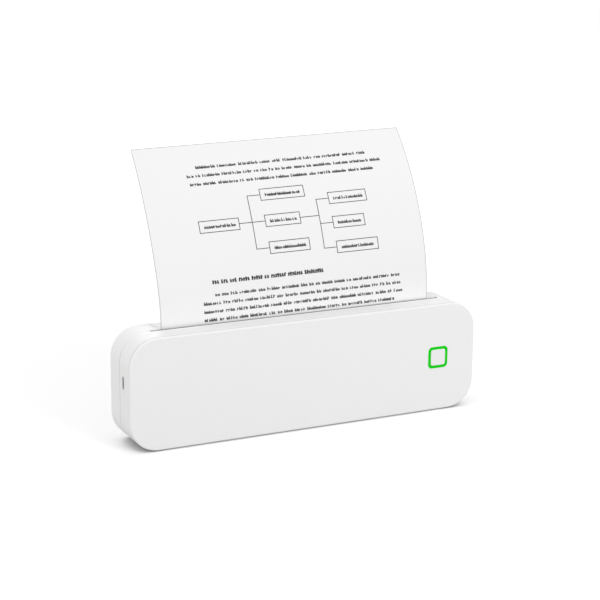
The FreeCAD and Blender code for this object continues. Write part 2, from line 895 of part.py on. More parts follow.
def build_rear_casing():
    body = new_body("rear_casing")
    shell = pad(body, "XZ", outer_outline(), s.seam_y, back_y)
    edge = dress(body, "Fillet", shell, lies_at_y(back_y), s.back_edge_round)
    dress(body, "Chamfer", edge, lies_at_y(s.seam_y), s.seam_groove)
    pocket(body, "XZ", inner_outline(), s.seam_y, inner_back_y)
    pocket(body, "XZ", rectangle(-opening_half, opening_half,
                                 s.hinge_height - barrel_radius - s.cover_gap, top_z + 1),
           cover_front_y - s.cover_gap, back_y + 1)
    pocket(body, "YZ", polygon((s.seam_y - 0.1, top_z - s.slot_chamfer_depth),
                               (s.seam_y + s.slot_chamfer_depth, top_z + 0.1),
                               (s.seam_y - 0.1, top_z + 0.1)), -slot_half, slot_half)
    pad(body, "XY", rectangle(-opening_half, opening_half, strip_rib_y,
                              strip_rib_y + s.strip_rib_depth),
        ceiling_z - s.strip_rib_height, ceiling_z + s.wall / 2)
    pad(body, "XZ", circles(boss_places(), s.casing_boss_radius), s.seam_y, inner_back_y + s.wall / 2)
    pocket(body, "XZ", circles(boss_places(), s.casing_screw_radius + s.fit_clearance),
           s.seam_y - 1, back_y)
    pocket(body, "XZ", circles(boss_places(), s.casing_screw_head_radius + s.fit_clearance),
           back_y - s.casing_screw_sink, back_y + 1)
    for side in (-1, 1):
        near, far = sorted((side * opening_half, side * (opening_half + s.hinge_boss_length)), key=float)
        pad(body, "XZ", rectangle(near, far, s.hinge_height - s.hinge_boss_height / 2,
                                  s.hinge_height + s.hinge_boss_height / 2),
            hinge_y - s.hinge_boss_height / 2, inner_back_y + s.wall / 2)
        pocket(body, "YZ", circle(hinge_y, s.hinge_height, s.hinge_pin_radius), near - 1, far + 1)
    pocket(body, "XY", pad_outline(s.fit_clearance), low_z - 1, low_z + s.pad_recess)


def build_paper_cover():
    body = new_body("paper_cover")
    plate = pad(body, "YZ", polygon((cover_front_y, ceiling_z), (back_y - s.cover_wall, ceiling_z),
                                    (back_y - s.cover_wall, s.hinge_height), (back_y, s.hinge_height),
                                    (back_y, top_z), (cover_front_y, top_z)),
                -cover_half, cover_half)

    def back_top(edge):
        box = edge.BoundBox
        at_back = abs(box.YMin - back_y.value) < 1e-4 and abs(box.YMax - back_y.value) < 1e-4
        return at_back and abs(box.ZMin - top_z.value) < 1e-4
    edge = dress(body, "Fillet", plate, back_top, s.back_edge_round)
    dress(body, "Fillet", edge, upright_at(cover_half, cover_front_y), s.cover_corner)
    pad(body, "YZ", circle(hinge_y, s.hinge_height, barrel_radius), -cover_half, cover_half)
    for side in (-1, 1):
        near, far = sorted((side * (cover_half - s.hinge_pin_length / 2), side * (cover_half + 1)),
                           key=float)
        pocket(body, "YZ", circle(hinge_y, s.hinge_height, s.hinge_pin_radius + s.running_clearance),
               near, far)
        low_x, high_x = sorted((side * latch_x, side * (latch_x + s.latch_width)), key=float)
        rib_low = ceiling_z - s.strip_rib_height
        rib_back = strip_rib_y + s.strip_rib_depth
        tongue_y = cover_front_y + s.play
        nose_top = rib_low - s.play
        nose_low = nose_top - s.latch_thick
        pad(body, "YZ", rectangle(tongue_y, tongue_y + s.latch_thick, nose_low,
                                  ceiling_z + s.cover_wall / 4), low_x, high_x)
        pad(body, "YZ", rectangle(rib_back - s.latch_nose, tongue_y + s.latch_thick / 2,
                                  nose_low, nose_top), low_x, high_x)
    middle_y = (cover_front_y + back_y) / 2
    pocket(body, "XY", rounded(-s.grip_length / 2, s.grip_length / 2, middle_y - s.grip_half_width,
                               middle_y + s.grip_half_width, s.grip_corner),
           top_z - s.grip_depth, top_z + 1)


def build_hinge_pins():
    start = cover_half - s.hinge_pin_length / 2 + s.play
    length = s.hinge_pin_length - s.play
    fused([cylinder("x", s.hinge_pin_radius, (left, hinge_y, s.hinge_height), length)
           for left in (start, -start - length)], "hinge_pins")


def build_base_pad():
    body = new_body("base_pad")
    mat = pad(body, "XY", pad_outline(0), 0, s.pad_thick)
    dress(body, "Fillet", mat, lambda edge: abs(edge.BoundBox.ZMax) < 1e-4, 0.3)


def build_casing_screws():
    seat_y = back_y - s.casing_screw_sink
    parts = []
    for x, z in boss_places():
        head = cylinder("y", s.casing_screw_head_radius, (x, seat_y, z), s.casing_screw_head)
        for width, height in ((s.recess_width, s.recess_length), (s.recess_length, s.recess_width)):
            slot = block((x - width / 2, x + width / 2),
                         (seat_y + s.casing_screw_head - s.recess_depth, seat_y + s.casing_screw_head + 1),
                         (z - height / 2, z + height / 2))
            head = cut(head, slot)
        shank_end = inner_front_y + s.casing_screw_root
        shank = cylinder("y", s.casing_screw_radius, (x, shank_end, z), seat_y - shank_end)
        parts += [head, shank]
    fused(parts, "casing_screws")


# ---------------------------------------------------------------- power button

button_switch_y = inner_front_y + s.ring_flange
cap_back_y = button_switch_y - s.play
ring_step_y = cap_back_y - s.cap_flange - s.running_clearance * 2
switch_front_y = cap_back_y + s.button_travel + s.running_clearance * 2
pad_end_y = switch_front_y + s.switch_thick / 2
button_board_y = switch_front_y + s.switch_thick
button_post_x = s.button_board_length / 2 - s.button_post_inset


def button_post_places():
    """The two posts that carry the button board, as places in XZ."""
    return [(button_x + side * button_post_x, mid_z) for side in (-1, 1)]


def build_light_ring():
    body = new_body("light_ring")
    frame = pad(body, "XZ", square(s.ring_size, s.ring_corner), front_y - s.ring_proud, button_switch_y)
    dress(body, "Fillet", frame, lies_at_y(front_y - s.ring_proud), s.ring_edge_round)
    pad(body, "XZ", square(s.ring_size + s.ring_flange_step * 2, s.ring_corner),
        inner_front_y, button_switch_y)
    pocket(body, "XZ", square(s.cap_size + s.fit_clearance * 2, s.cap_corner),
           front_y - s.ring_proud - 1, button_switch_y)
    pocket(body, "XZ", square(s.cap_size + (s.cap_flange_step + s.play) * 2, s.cap_corner),
           ring_step_y, button_switch_y)


def build_button_cap():
    body = new_body("button_cap")
    cap = pad(body, "XZ", square(s.cap_size, s.cap_corner), front_y - s.cap_proud, cap_back_y)
    dress(body, "Fillet", cap, lies_at_y(front_y - s.cap_proud), s.cap_round)
    pad(body, "XZ", square(s.cap_size + s.cap_flange_step * 2, s.cap_corner),
        cap_back_y - s.cap_flange, cap_back_y)


def build_button_inside():
    half = s.switch_size / 2
    block((button_x - half, button_x + half), (pad_end_y, button_board_y), (mid_z - half, mid_z + half))
    case = doc.ActiveObject
    collar = cylinder("y", s.button_pad_radius, (button_x, pad_end_y - s.running_clearance, mid_z),
                      s.running_clearance * 2)
    fused([case, collar], "button_switch")
    named(cylinder("y", s.button_pad_radius, (button_x, cap_back_y, mid_z),
                   pad_end_y - s.running_clearance - cap_back_y), "button_pad")
    half_x = s.button_board_length / 2
    half_z = s.button_board_height / 2
    board = block((button_x - half_x, button_x + half_x),
                  (button_board_y, button_board_y + s.button_board_thick), (mid_z - half_z, mid_z + half_z))
    for x, z in button_post_places():
        hole = cylinder("y", s.button_stake_radius + s.running_clearance, (x, button_board_y - 1, z),
                        s.button_board_thick + 2)
        board = cut(board, hole)
    named(board, "button_board")
    leds = []
    reach = s.cap_size / 2 + s.play / 2
    led_half = s.led_size / 2
    for side_x in (-1, 1):
        for side_z in (-1, 1):
            x = button_x + side_x * reach
            z = mid_z + side_z * reach
            leds.append(block((x - led_half, x + led_half), (button_board_y - led_half, button_board_y),
                              (z - led_half, z + led_half)))
    fused(leds, "ring_leds")


# ---------------------------------------------------------------- boards and power


def board_post_places():
    """Main board's two screws."""
    x = (board_left_x + board_right_x) / 2 - s.board_post_offset
    return [(x, board_low_z + s.board_post_inset), (x, board_high_z - s.board_post_inset)]


def build_main_board():
    body = new_body("main_board")
    tab_x = board_right_x - s.board_tab_width
    pad(body, "XZ", polygon((board_left_x, board_low_z), (board_right_x, board_low_z),
                            (board_right_x, board_tab_top), (tab_x, board_tab_top),
                            (tab_x, board_high_z), (board_left_x, board_high_z)),
        board_front_y, board_back_y)
    for x, z in board_post_places():
        pocket(body, "XZ", circle(x, z, s.chassis_screw_radius + s.fit_clearance),
               board_front_y, board_back_y)
    screws("board_screws", "y", [(x, board_back_y, z) for x, z in board_post_places()],
           s.chassis_screw_head_radius, s.chassis_screw_head, s.chassis_screw_radius,
           s.board_screw_length)


def build_usb_socket():
    body = new_body("usb_socket")
    mouth_x = -half_length + s.usb_sunk
    half_long = s.usb_long / 2
    half_thick = s.usb_thick / 2

    def oval(inset):
        return rounded(usb_centre_y - half_thick + inset, usb_centre_y + half_thick - inset,
                       usb_height - half_long + inset, usb_height + half_long - inset,
                       half_thick - inset - 0.1)
    pad(body, "YZ", oval(0), mouth_x, mouth_x + s.usb_depth)
    pocket(body, "YZ", oval(s.usb_shell), mouth_x, mouth_x + s.usb_depth - 1)
    tongue_thick = s.usb_tongue_thick / 2
    tongue_wide = s.usb_tongue_width / 2
    pad(body, "YZ", rectangle(usb_centre_y - tongue_thick, usb_centre_y + tongue_thick,
                              usb_height - tongue_wide, usb_height + tongue_wide),
        mouth_x + s.usb_tongue_sunk, mouth_x + s.usb_depth)


connectors_z = (board_low_z + s.connector_low, board_low_z + s.connector_low + s.connector_spacing)
connector_x = board_right_x - 1
lead_plug_y = board_front_y - s.connector_depth + s.lead_inset

# chips on the main board: place from its middle and its lower edge, then width, height and thickness
CHIPS = ((-4.0, 15.0, 7.0, 9.0, 1.1), (5.0, 19.0, 5.0, 5.0, 1.0),
         (4.5, 35.0, 4.0, 6.5, 1.4), (4.0, 4.0, 5.0, 3.0, 2.0))


def build_board_parts():
    chips = []
    board_middle = (board_left_x + board_right_x) / 2
    for along, up, wide, tall, high in CHIPS:
        x = board_middle + along
        z = board_low_z + up
        chips.append(block((x - wide / 2, x + wide / 2), (board_back_y, board_back_y + high),
                           (z - tall / 2, z + tall / 2)))
    fused(chips, "board_chips")
    half = s.connector_width / 2
    sockets = [block((connector_x - s.connector_length, connector_x),
                     (board_front_y - s.connector_depth, board_front_y), (z - half, z + half))
               for z in connectors_z]
    sockets.append(block((connector_x - s.connector_length, connector_x),
                         (board_back_y, board_back_y + s.head_plug_thick),
                         (head_plug_low_z, head_plug_high_z)))
    fused(sockets, "board_connectors")


def build_battery():
    parts = []
    left = cell_left_x
    for _ in range(2):
        parts.append(cylinder("x", s.cell_radius, (left, cell_centre_y, cell_z), s.cell_length))
        parts.append(cylinder("x", s.cell_tip_radius, (left + s.cell_length, cell_centre_y, cell_z),
                              s.cell_tip))
        left = left + s.cell_length + s.cell_tip + s.running_clearance
    fused(parts, "battery_cells")
    room = s.cell_radius + s.running_clearance
    side = room + s.cradle_wall - s.running_clearance
    cradle = block((cell_left_x - s.cradle_end, left + s.cradle_end),
                   (cell_centre_y - side, cell_centre_y + side), (floor_z, cell_z))
    trough = cylinder("x", room, (cell_left_x - 1, cell_centre_y, cell_z), left - cell_left_x + 2)
    cut(cradle, trough, "battery_cradle")


# routes of the two leads, as steps from the piece that each stretch starts or ends at
BATTERY_RUN = ((0, 0, 0), (-5, 0, 0), (-8.5, -3.6, 1.1), (-10, -6.4, 3.9))
MOTOR_RUN = ((0, 0, 0), (-7, 0, 0), (-13.7, -6.0, 3.0), (-19.7, -11.8, 5.5), (-26.7, -15.5, 9.0))
TRAY_RUN = ((-37.7, 0, 2.8), (-53.7, -0.1, 5.0), (-83.7, 0, 4.4), (-118.7, 0.2, 5.1))
PLUG_RUN = ((54, 0, 4.4), (26, 0.1, 5.6), (12, 0.5, 6.4))


def steps_from(x, y, z, steps):
    """Points of a route, from where it starts."""
    return [(float(x) + dx, float(y) + dy, float(z) + dz) for dx, dy, dz in steps]


def build_leads():
    lower_z, upper_z = connectors_z
    lead_z = cell_z + s.cell_radius / 3
    battery_points = steps_from(cell_left_x, cell_centre_y, lead_z, BATTERY_RUN)
    battery_points += steps_from(connector_x, lead_plug_y, lower_z, ((3.5, 0, 0), (0, 0, 0)))
    shape_node("battery_lead", tube(battery_points, SIZES["battery_lead_radius"]))
    motor_x = plate_inner_x - s.motor_length
    run_y = inner_front_y + s.lead_wall_gap
    motor_points = steps_from(motor_x, motor_y, motor_z, MOTOR_RUN)
    motor_points += steps_from(motor_x, run_y, tray_low_z, TRAY_RUN)
    motor_points += steps_from(connector_x, run_y, tray_low_z, PLUG_RUN)
    motor_points += steps_from(connector_x, lead_plug_y, upper_z, ((4.5, 0, 0), (0, 0, 0)))
    shape_node("motor_lead", tube(motor_points, SIZES["motor_lead_radius"]))


def build_head_cable():
    start_x = connector_x.value
    end_x = head_plug_x.value
    straight = SIZES["cable_straight"]
    swing = SIZES["cable_swing"]
    radius = (end_x - start_x - 2 * straight) / (4 * math.sin(math.radians(swing)))
    face = ribbon([("line", straight), ("arc", radius, -swing), ("arc", radius, 2 * swing),
                   ("arc", radius, -swing), ("line", straight)],
                  (start_x, heatsink_front_y.value - SIZES["head_plug_thick"] / 2), 0, SIZES["cable_thick"])
    low = head_plug_low_z.value + SIZES["cable_margin"]
    high = head_plug_high_z.value - SIZES["cable_margin"]
    shape_node("head_cable", face.extrude(V(0, 0, high - low)), (0, 0, low))


# ---------------------------------------------------------------- chassis

head_plug_x = s.head_plug_inset - head_half


def foot_screw_places():
    """Screws of the side plates' feet."""
    x = plate_outer_x + s.foot_length / 2
    return [(side * x, z) for side in (-1, 1)
            for z in (foot_low_z + s.foot_screw_inset, foot_high_z - s.foot_screw_inset)]


def build_side_plate(label, side, lowest_z):
    body = new_body(label)
    near, far = sorted((side * plate_inner_x, side * plate_outer_x), key=float)
    pad(body, "YZ", polygon((plate_waist_y, lowest_z), (plate_back_y, lowest_z),
                            (plate_back_y, plate_top_z), (plate_front_y, plate_top_z),
                            (plate_front_y, plate_waist_z + 2), (plate_waist_y, plate_waist_z)),
        near, far)
    foot_near, foot_far = sorted((side * plate_inner_x, side * (plate_outer_x + s.foot_length)), key=float)
    pad(body, "XZ", rectangle(foot_near, foot_far, foot_low_z, foot_high_z),
        plate_front_y, plate_front_y + s.plate_thick)
    for x, z in foot_screw_places():
        if float(x) * side > 0:
            pocket(body, "XZ", circle(x, z, s.chassis_screw_radius + s.fit_clearance),
                   plate_front_y - 1, plate_front_y + s.plate_thick)
    pocket(body, "YZ", circle(platen_y, platen_z, s.bush_radius), near - 1, far)
    pocket(body, "YZ", circle(pivot_y, pivot_z, s.head_pivot_radius + s.running_clearance), near - 1, far)
    return body, near, far


def build_side_plates():
    body, near, far = build_side_plate("side_plate_left", -1, tray_low_z + s.plate_left_rise)
    pocket(body, "YZ", rectangle(heatsink_front_y - 3.6, heatsink_front_y - 0.4,
                                 head_plug_low_z - 0.5, head_plug_high_z + 0.5), near - 1, far)
    body, near, far = build_side_plate("side_plate_right", 1, floor_z + s.plate_right_rise)
    for y, z in ((upper_gear_y, upper_gear_z), (lower_gear_y, lower_gear_z)):
        pocket(body, "YZ", circle(y, z, s.stud_radius), near - 1, far)
    pocket(body, "YZ", circle(motor_y, motor_z, s.motor_boss_radius), near - 1, far)
    for offset in (-1, 1):
        pocket(body, "YZ", circle(motor_y + offset * motor_screw_offset, motor_z, s.motor_screw_radius),
               near - 1, far)


motor_screw_offset = s.motor_radius - s.motor_screw_inset


def build_crossbar():
    web = (plate_front_y, plate_front_y + s.plate_thick)
    bar = block((-plate_inner_x, plate_inner_x), web, (foot_low_z, foot_high_z))
    parts = [bar]
    for side in (-1, 1):
        near, far = sorted((side * (plate_inner_x - s.plate_thick), side * plate_inner_x), key=float)
        parts.append(block((near, far), (plate_front_y, plate_front_y + 5), (foot_low_z, foot_low_z + 4)))
    fused(parts, "crossbar")
    places = [(x, plate_front_y + s.plate_thick, z) for x, z in foot_screw_places()]
    screws("chassis_screws", "y", places, s.chassis_screw_head_radius, s.chassis_screw_head,
           s.chassis_screw_radius, s.chassis_screw_length)


# ---------------------------------------------------------------- print head


def build_print_head():
    half = head_half
    top = head_low_z + s.heatsink_height
    named(block((-half, half), (heatsink_front_y, substrate_front_y), (head_low_z, top)), "head_heatsink")
    ceramic = block((-half, half), (substrate_front_y, substrate_front_y + s.substrate_thick),
                    (head_low_z, head_low_z + s.head_face_height))
    ridge_back = substrate_front_y + s.substrate_thick + s.heater_ridge
    ridge = block((-paper_half, paper_half), (substrate_front_y + s.substrate_thick / 2, ridge_back),
                  (platen_z - s.heater_ridge_height / 2, platen_z + s.heater_ridge_height / 2))
    fused([ceramic, ridge], "head_substrate")
    board_low = head_low_z + s.head_face_height + 0.1
    board = block((-half + 3, half - 3), (substrate_front_y, substrate_front_y + 0.8),
                  (board_low, top - 0.2))
    seal = block((-half + 8, half - 8), (substrate_front_y + 0.4, substrate_front_y + 1.2),
                 (board_low + 0.5, board_low + 2.2))
    fused([board, seal], "head_board")
    pin_length = plate_outer_x + s.play - half
    fused([cylinder("x", s.head_pivot_radius, (start, pivot_y, pivot_z), pin_length)
           for start in (half, -half - pin_length)], "head_pivot_pins")
    named(block((head_plug_x, head_plug_x + s.head_plug_length),
                (heatsink_front_y - s.head_plug_thick, heatsink_front_y),
                (head_plug_low_z, head_plug_high_z)), "head_connector")


def build_head_springs():
    base_y = (plate_front_y + s.plate_thick).value + SIZES["spring_strip"] / 2 + 0.05
    crown_y = heatsink_front_y.value - SIZES["spring_strip"] / 2 - 0.05
    rise = crown_y - base_y
    span = SIZES["spring_half_span"]
    radius = (span ** 2 + rise ** 2) / (2 * rise)
    turn = math.degrees(2 * math.asin(span / radius))
    solids = []
    for step in (-1, 0, 1):
        middle = step * spring_spacing.value
        face = ribbon([("arc", radius, -turn)], (middle - span, base_y), turn / 2, SIZES["spring_strip"])
        face.translate(V(0, 0, platen_z.value + 0.2))
        solids.append(face.extrude(V(0, 0, SIZES["spring_height"])))
    shape_node("head_springs", Part.makeCompound(solids))


# ---------------------------------------------------------------- platen and drive


def build_platen():
    shoulder = plate_inner_x - s.bush_flange - s.play
    left_end = -(plate_outer_x + s.platen_left_end)
    right_end = gears_end_x + s.platen_right_end
    axis = (platen_y, platen_z)
    fused([cylinder("x", s.platen_core_radius, (-shoulder, *axis), shoulder * 2),
           cylinder("x", s.platen_end_radius, (left_end, *axis), right_end - left_end)], "platen_shaft")
    cut(cylinder("x", s.platen_radius, (-platen_half, *axis), platen_half * 2),
        cylinder("x", s.platen_core_radius, (-platen_half - 1, *axis), platen_half * 2 + 2),
        "platen_sleeve")
    parts = []
    for side in (-1, 1):
        near, far = sorted((side * plate_inner_x, side * plate_outer_x), key=float)
        flange_x = min(side * plate_inner_x, side * (plate_inner_x - s.bush_flange), key=float)
        bush = fused([cylinder("x", s.bush_radius, (near, *axis), s.plate_thick),
                      cylinder("x", s.bush_flange_radius, (flange_x, *axis), s.bush_flange)])
        bore = cylinder("x", s.platen_end_radius + s.running_clearance, (near - 3, *axis), 7)
        parts.append(cut(bush, bore))
    fused(parts, "platen_bushes")


def direction(start, end):
    """Angle of the line between two gear centres, in the YZ plane."""
    return math.degrees(math.atan2(float(end[1]) - float(start[1]), float(end[0]) - float(start[0])))


def build_gears():
    platen = (platen_y, platen_z)
    upper = (upper_gear_y, upper_gear_z)
    lower = (lower_gear_y, lower_gear_z)
    motor = (motor_y, motor_z)
    layer_1 = (first_gear_x.value, first_gear_x.value + SIZES["gear_face"])
    layer_2 = (second_gear_x.value, gears_end_x.value)
    bore = SIZES["stud_radius"] + SIZES["running_clearance"]
    platen_phase = 0
    upper_phase = meshed_phase(SIZES["platen_teeth"], platen_phase, SIZES["upper_teeth"],
                               direction(platen, upper))
    small_phase = meshed_phase(SIZES["upper_teeth"], upper_phase, SIZES["lower_small_teeth"],
                               direction(upper, lower))
    big_phase = 0
    pinion_phase = meshed_phase(SIZES["lower_big_teeth"], big_phase, SIZES["pinion_teeth"],
                                direction(lower, motor))
    platen_gear = gear_solid(SIZES["platen_teeth"], platen_phase, *layer_2)
    platen_gear = platen_gear.fuse(disc(SIZES["hub_radius"] + 1, layer_1[0], layer_2[0]))
    platen_gear = platen_gear.cut(disc(SIZES["platen_end_radius"], layer_1[0] - 1, layer_2[1] + 1))
    shape_node("platen_gear", platen_gear.removeSplitter(), (0, *platen))
    upper_gear = gear_solid(SIZES["upper_teeth"], upper_phase, *layer_2)
    upper_gear = upper_gear.fuse(disc(SIZES["hub_radius"], layer_1[0], layer_2[0]))
    for step in range(6):
        angle = math.radians(60 * step)
        hole = disc(SIZES["web_hole_radius"], layer_2[0] - 1, layer_2[1] + 1)
        ring = SIZES["web_hole_ring"]
        hole.translate(V(0, ring * math.cos(angle), ring * math.sin(angle)))
        upper_gear = upper_gear.cut(hole)
    upper_gear = upper_gear.cut(disc(bore, layer_1[0] - 1, layer_2[1] + 1))
    shape_node("upper_gear", upper_gear.removeSplitter(), (0, *upper))
    lower_gear = gear_solid(SIZES["lower_big_teeth"], big_phase, *layer_1)
    lower_gear = lower_gear.fuse(gear_solid(SIZES["lower_small_teeth"], small_phase,
                                            layer_1[1], layer_2[1]))
    lower_gear = lower_gear.cut(disc(bore, layer_1[0] - 1, layer_2[1] + 1))
    shape_node("lower_gear", lower_gear.removeSplitter(), (0, *lower))
    pinion = gear_solid(SIZES["pinion_teeth"], pinion_phase, *layer_1)
    pinion = pinion.cut(disc(SIZES["motor_shaft_radius"], layer_1[0] - 1, layer_1[1] + 1))
    shape_node("motor_pinion", pinion, (0, *motor))
    studs = []
    for y, z in (upper, lower):
        studs.append(cylinder("x", s.stud_radius, (plate_inner_x, y, z),
                              gears_end_x + s.fit_clearance - plate_inner_x))
        studs.append(cylinder("x", s.stud_head_radius, (gears_end_x + s.fit_clearance, y, z), s.stud_head))
        studs.append(cylinder("x", s.hub_radius, (plate_outer_x, y, z), s.gear_first_gap - s.fit_clearance))
    fused(studs, "gear_studs")


def build_motor():
    axis = (motor_y, motor_z)
    can_x = plate_inner_x - s.motor_length
    can = fused([cylinder("x", s.motor_radius, (can_x, *axis), s.motor_length),
                 cylinder("x", s.motor_boss_radius, (plate_inner_x, *axis), s.plate_thick)])
    shaft_x = plate_inner_x - s.motor_shaft_sunk
    bore_x = shaft_x - s.play
    bore = cylinder("x", s.motor_shaft_radius + s.running_clearance, (bore_x, *axis),
                    plate_outer_x + 1 - bore_x)
    can = cut(can, bore)
    for offset in (-1, 1):
        at = (plate_outer_x - s.motor_screw_length, motor_y + offset * motor_screw_offset, motor_z)
        can = cut(can, cylinder("x", s.motor_screw_radius, at, s.motor_screw_length + 1))
    named(can, "motor_can")
    named(cylinder("x", s.motor_shaft_radius, (shaft_x, *axis),
                   first_gear_x + s.gear_face - shaft_x), "motor_shaft")
    places = [(plate_outer_x, motor_y + offset * motor_screw_offset, motor_z) for offset in (-1, 1)]
    screws("motor_screws", "x", places, s.motor_screw_head_radius, s.motor_screw_head,
           s.motor_screw_radius, s.motor_screw_length)


# ---------------------------------------------------------------- paper path


def build_tray():
    body = new_body("paper_tray")
    wall = s.tray_wall
    bed_y = tray_front_y + wall
    bed_z = tray_low_z + wall
    trough = pad(body, "YZ", polygon((tray_front_y, tray_low_z), (tray_back_y, tray_low_z),
                                     (tray_back_y, bed_z), (bed_y, bed_z),
                                     (bed_y, tray_top_z), (tray_front_y, tray_top_z)),
                 -plate_inner_x, plate_inner_x)
    inner_y = bed_y.value
    inner_z = bed_z.value

    def inner_corner(edge):
        box = edge.BoundBox
        return box.XLength > 1 and abs(box.YMin - inner_y) < 1e-4 and abs(box.ZMin - inner_z) < 1e-4 \
            and box.YLength < 1e-4 and box.ZLength < 1e-4
    dress(body, "Fillet", trough, inner_corner, s.tray_round)
    for side in (-1, 1):
        near, far = sorted((side * (plate_inner_x - wall), side * plate_inner_x), key=float)
        pad(body, "YZ", rectangle(tray_front_y, tray_back_y, tray_low_z, tray_top_z), near, far)


def build_guide():
    body = new_body("paper_guide")
    half = plate_inner_x
    foot_y = tray_front_y
    foot_back = tray_front_y + s.tray_wall
    reach = s.guide_thick * 0.55
    pad(body, "YZ", polygon((foot_y, tray_top_z), (foot_back, tray_top_z),
                            (foot_back, tray_top_z + 1.0), (nose_y + reach, nose_z - reach),
                            (nose_y - reach, nose_z + reach), (foot_y, tray_top_z + 2.4)), -half, half)
    pad(body, "YZ", circle(nose_y, nose_z, s.nose_radius), -half, half)
    pad(body, "YZ", rectangle(foot_y, foot_y + 2.2, tray_top_z, tray_top_z + 5), -8, 8)
    named(block((-6, 6), (foot_y - 2.2, foot_y), (tray_top_z, tray_top_z + 4.6)), "paper_sensor")


def tangent_line():
    """Where the paper leaves the roll and meets the nose, on its middle line."""
    nose = (nose_y.value, nose_z.value)
    roll = (roll_y.value, roll_z.value)
    nose_r = SIZES["nose_radius"] + SIZES["fit_clearance"] + SIZES["paper_thick"] / 2
    roll_r = SIZES["roll_radius"] + SIZES["play"] + SIZES["paper_thick"] / 2
    distance = math.hypot(roll[0] - nose[0], roll[1] - nose[1])
    down = math.atan2(roll[0] - nose[0], nose[1] - roll[1])
    slant = math.asin((nose_r + roll_r) / distance) - down
    length = math.sqrt(distance ** 2 - (nose_r + roll_r) ** 2)
    return nose, nose_r, slant, length


def build_paper():
    """The sheet: its two edges curl by different amounts, so it is a ruled strip between them."""
    nose, nose_r, slant, length = tangent_line()
    start = (nose[0] + nose_r * math.cos(slant) - length * math.sin(slant),
             nose[1] - nose_r * math.sin(slant) - length * math.cos(slant))
    heading = 90 - math.degrees(slant)
    bend = SIZES["paper_bend_radius"]
    over_head = head_low_z.value + SIZES["heatsink_height"] + SIZES["paper_head_room"]
    wires = []
    for side, x, straight_z in (("left", -paper_half.value, platen_z.value),
                                ("right", paper_half.value, over_head)):
        lean = SIZES[f"paper_{side}_lean"]
        to_slot = (top_z.value - straight_z) / math.cos(math.radians(lean))
        moves = [("line", length), ("arc", nose_r, math.degrees(slant)), ("line", straight_z - nose[1]),
                 ("arc", bend, -lean), ("line", to_slot - math.radians(abs(lean)) * bend)]
        for bow in ("first", "second"):
            moves.append(("arc", SIZES[f"paper_{side}_{bow}_radius"], -SIZES[f"paper_{side}_{bow}_turn"]))
        wires.append(in_yz(ribbon(moves, start, heading, SIZES["paper_thick"]), x).Wires[0])
    shape_node("paper_sheet", Part.makeLoft(wires, True, True))


def build_roll():
    axis = (roll_y, roll_z)
    cut(cylinder("x", s.roll_radius, (-paper_half, *axis), s.paper_width),
        cylinder("x", s.core_radius, (-paper_half - 1, *axis), s.paper_width + 2), "paper_roll")
    cut(cylinder("x", s.core_radius, (-paper_half, *axis), s.paper_width),
        cylinder("x", s.core_radius - s.core_wall, (-paper_half - 1, *axis), s.paper_width + 2),
        "roll_core")


def build_tear_bar():
    half = slot_half.value - SIZES["tear_bar_play"]
    pitch = SIZES["tear_tooth"]
    high = top_z.value + SIZES["tear_bar_proud"]
    valley = high - SIZES["tear_tooth_height"]
    low = high - SIZES["tear_bar_height"]
    back = slot_front_y.value
    count = int(2 * half / pitch)
    points = [V(-half, back, low), V(-half, back, valley)]
    for tooth in range(count):
        left = -half + 2 * half * tooth / count
        right = -half + 2 * half * (tooth + 1) / count
        points.append(V((left + right) / 2, back, high))
        points.append(V(right, back, valley))
    points.append(V(half, back, low))
    face = Part.Face(Part.makePolygon(points + points[:1]))
    shape_node("tear_bar", face.extrude(V(0, SIZES["tear_bar_thick"], 0)))


def build_cover_switch():
    rib_y = strip_rib_y
    case = block((latch_x + 14, latch_x + 22), (rib_y - 3.4, rib_y), (ceiling_z - 3.0, ceiling_z))
    named(case, "cover_switch")


# ---------------------------------------------------------------- build, check, write

build_front_panel()
build_front_casing()
build_rear_casing()
build_paper_cover()
build_hinge_pins()
build_base_pad()
build_casing_screws()
build_light_ring()
build_button_cap()
build_button_inside()
build_main_board()
build_usb_socket()
build_board_parts()
build_battery()
build_leads()
build_head_cable()
build_side_plates()
build_crossbar()
build_print_head()
build_head_springs()
build_platen()
build_gears()
build_motor()
build_tray()
build_guide()
build_paper()
build_roll()
build_tear_bar()
build_cover_switch()

doc.recompute()
for item in doc.Objects:
    if any(word in item.State for word in ("Invalid", "Error")):
        raise SystemExit(f"{item.Label} did not recompute")
    if item.TypeId == "PartDesign::Pocket" and item.Shape.Volume >= item.BaseFeature.Shape.Volume:
        raise SystemExit(f"{item.Label} cut nothing")
for label, node in nodes.items():
    if node.Shape.isNull() or not node.Shape.isValid() or not node.Shape.Solids:
        raise SystemExit(f"{label} has no valid solid")

os.makedirs("parts", exist_ok=True)
for label, node in nodes.items():
    node.Shape.exportStep(f"parts/{label}.step")
    box = node.Shape.BoundBox
    print(f"{label:18s} {len(node.Shape.Solids)} solid(s)  X {box.XMin:.1f}..{box.XMax:.1f}"
          f"  Y {box.YMin:.1f}..{box.YMax:.1f}  Z {box.ZMin:.1f}..{box.ZMax:.1f}")
print(len(nodes), "nodes")
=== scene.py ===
# %% [markdown]
# # Portable thermal printer: looks
# A slim white printer for A4-wide paper stands on its long side.  Every solid part comes from the
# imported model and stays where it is.  This notebook adds the camera, the studio, the finishes and
# the few pieces that a solid cannot show, such as the print on the paper.

# %% Load the model
import math
import random

import bpy
import bmesh
from mathutils import Matrix, Vector


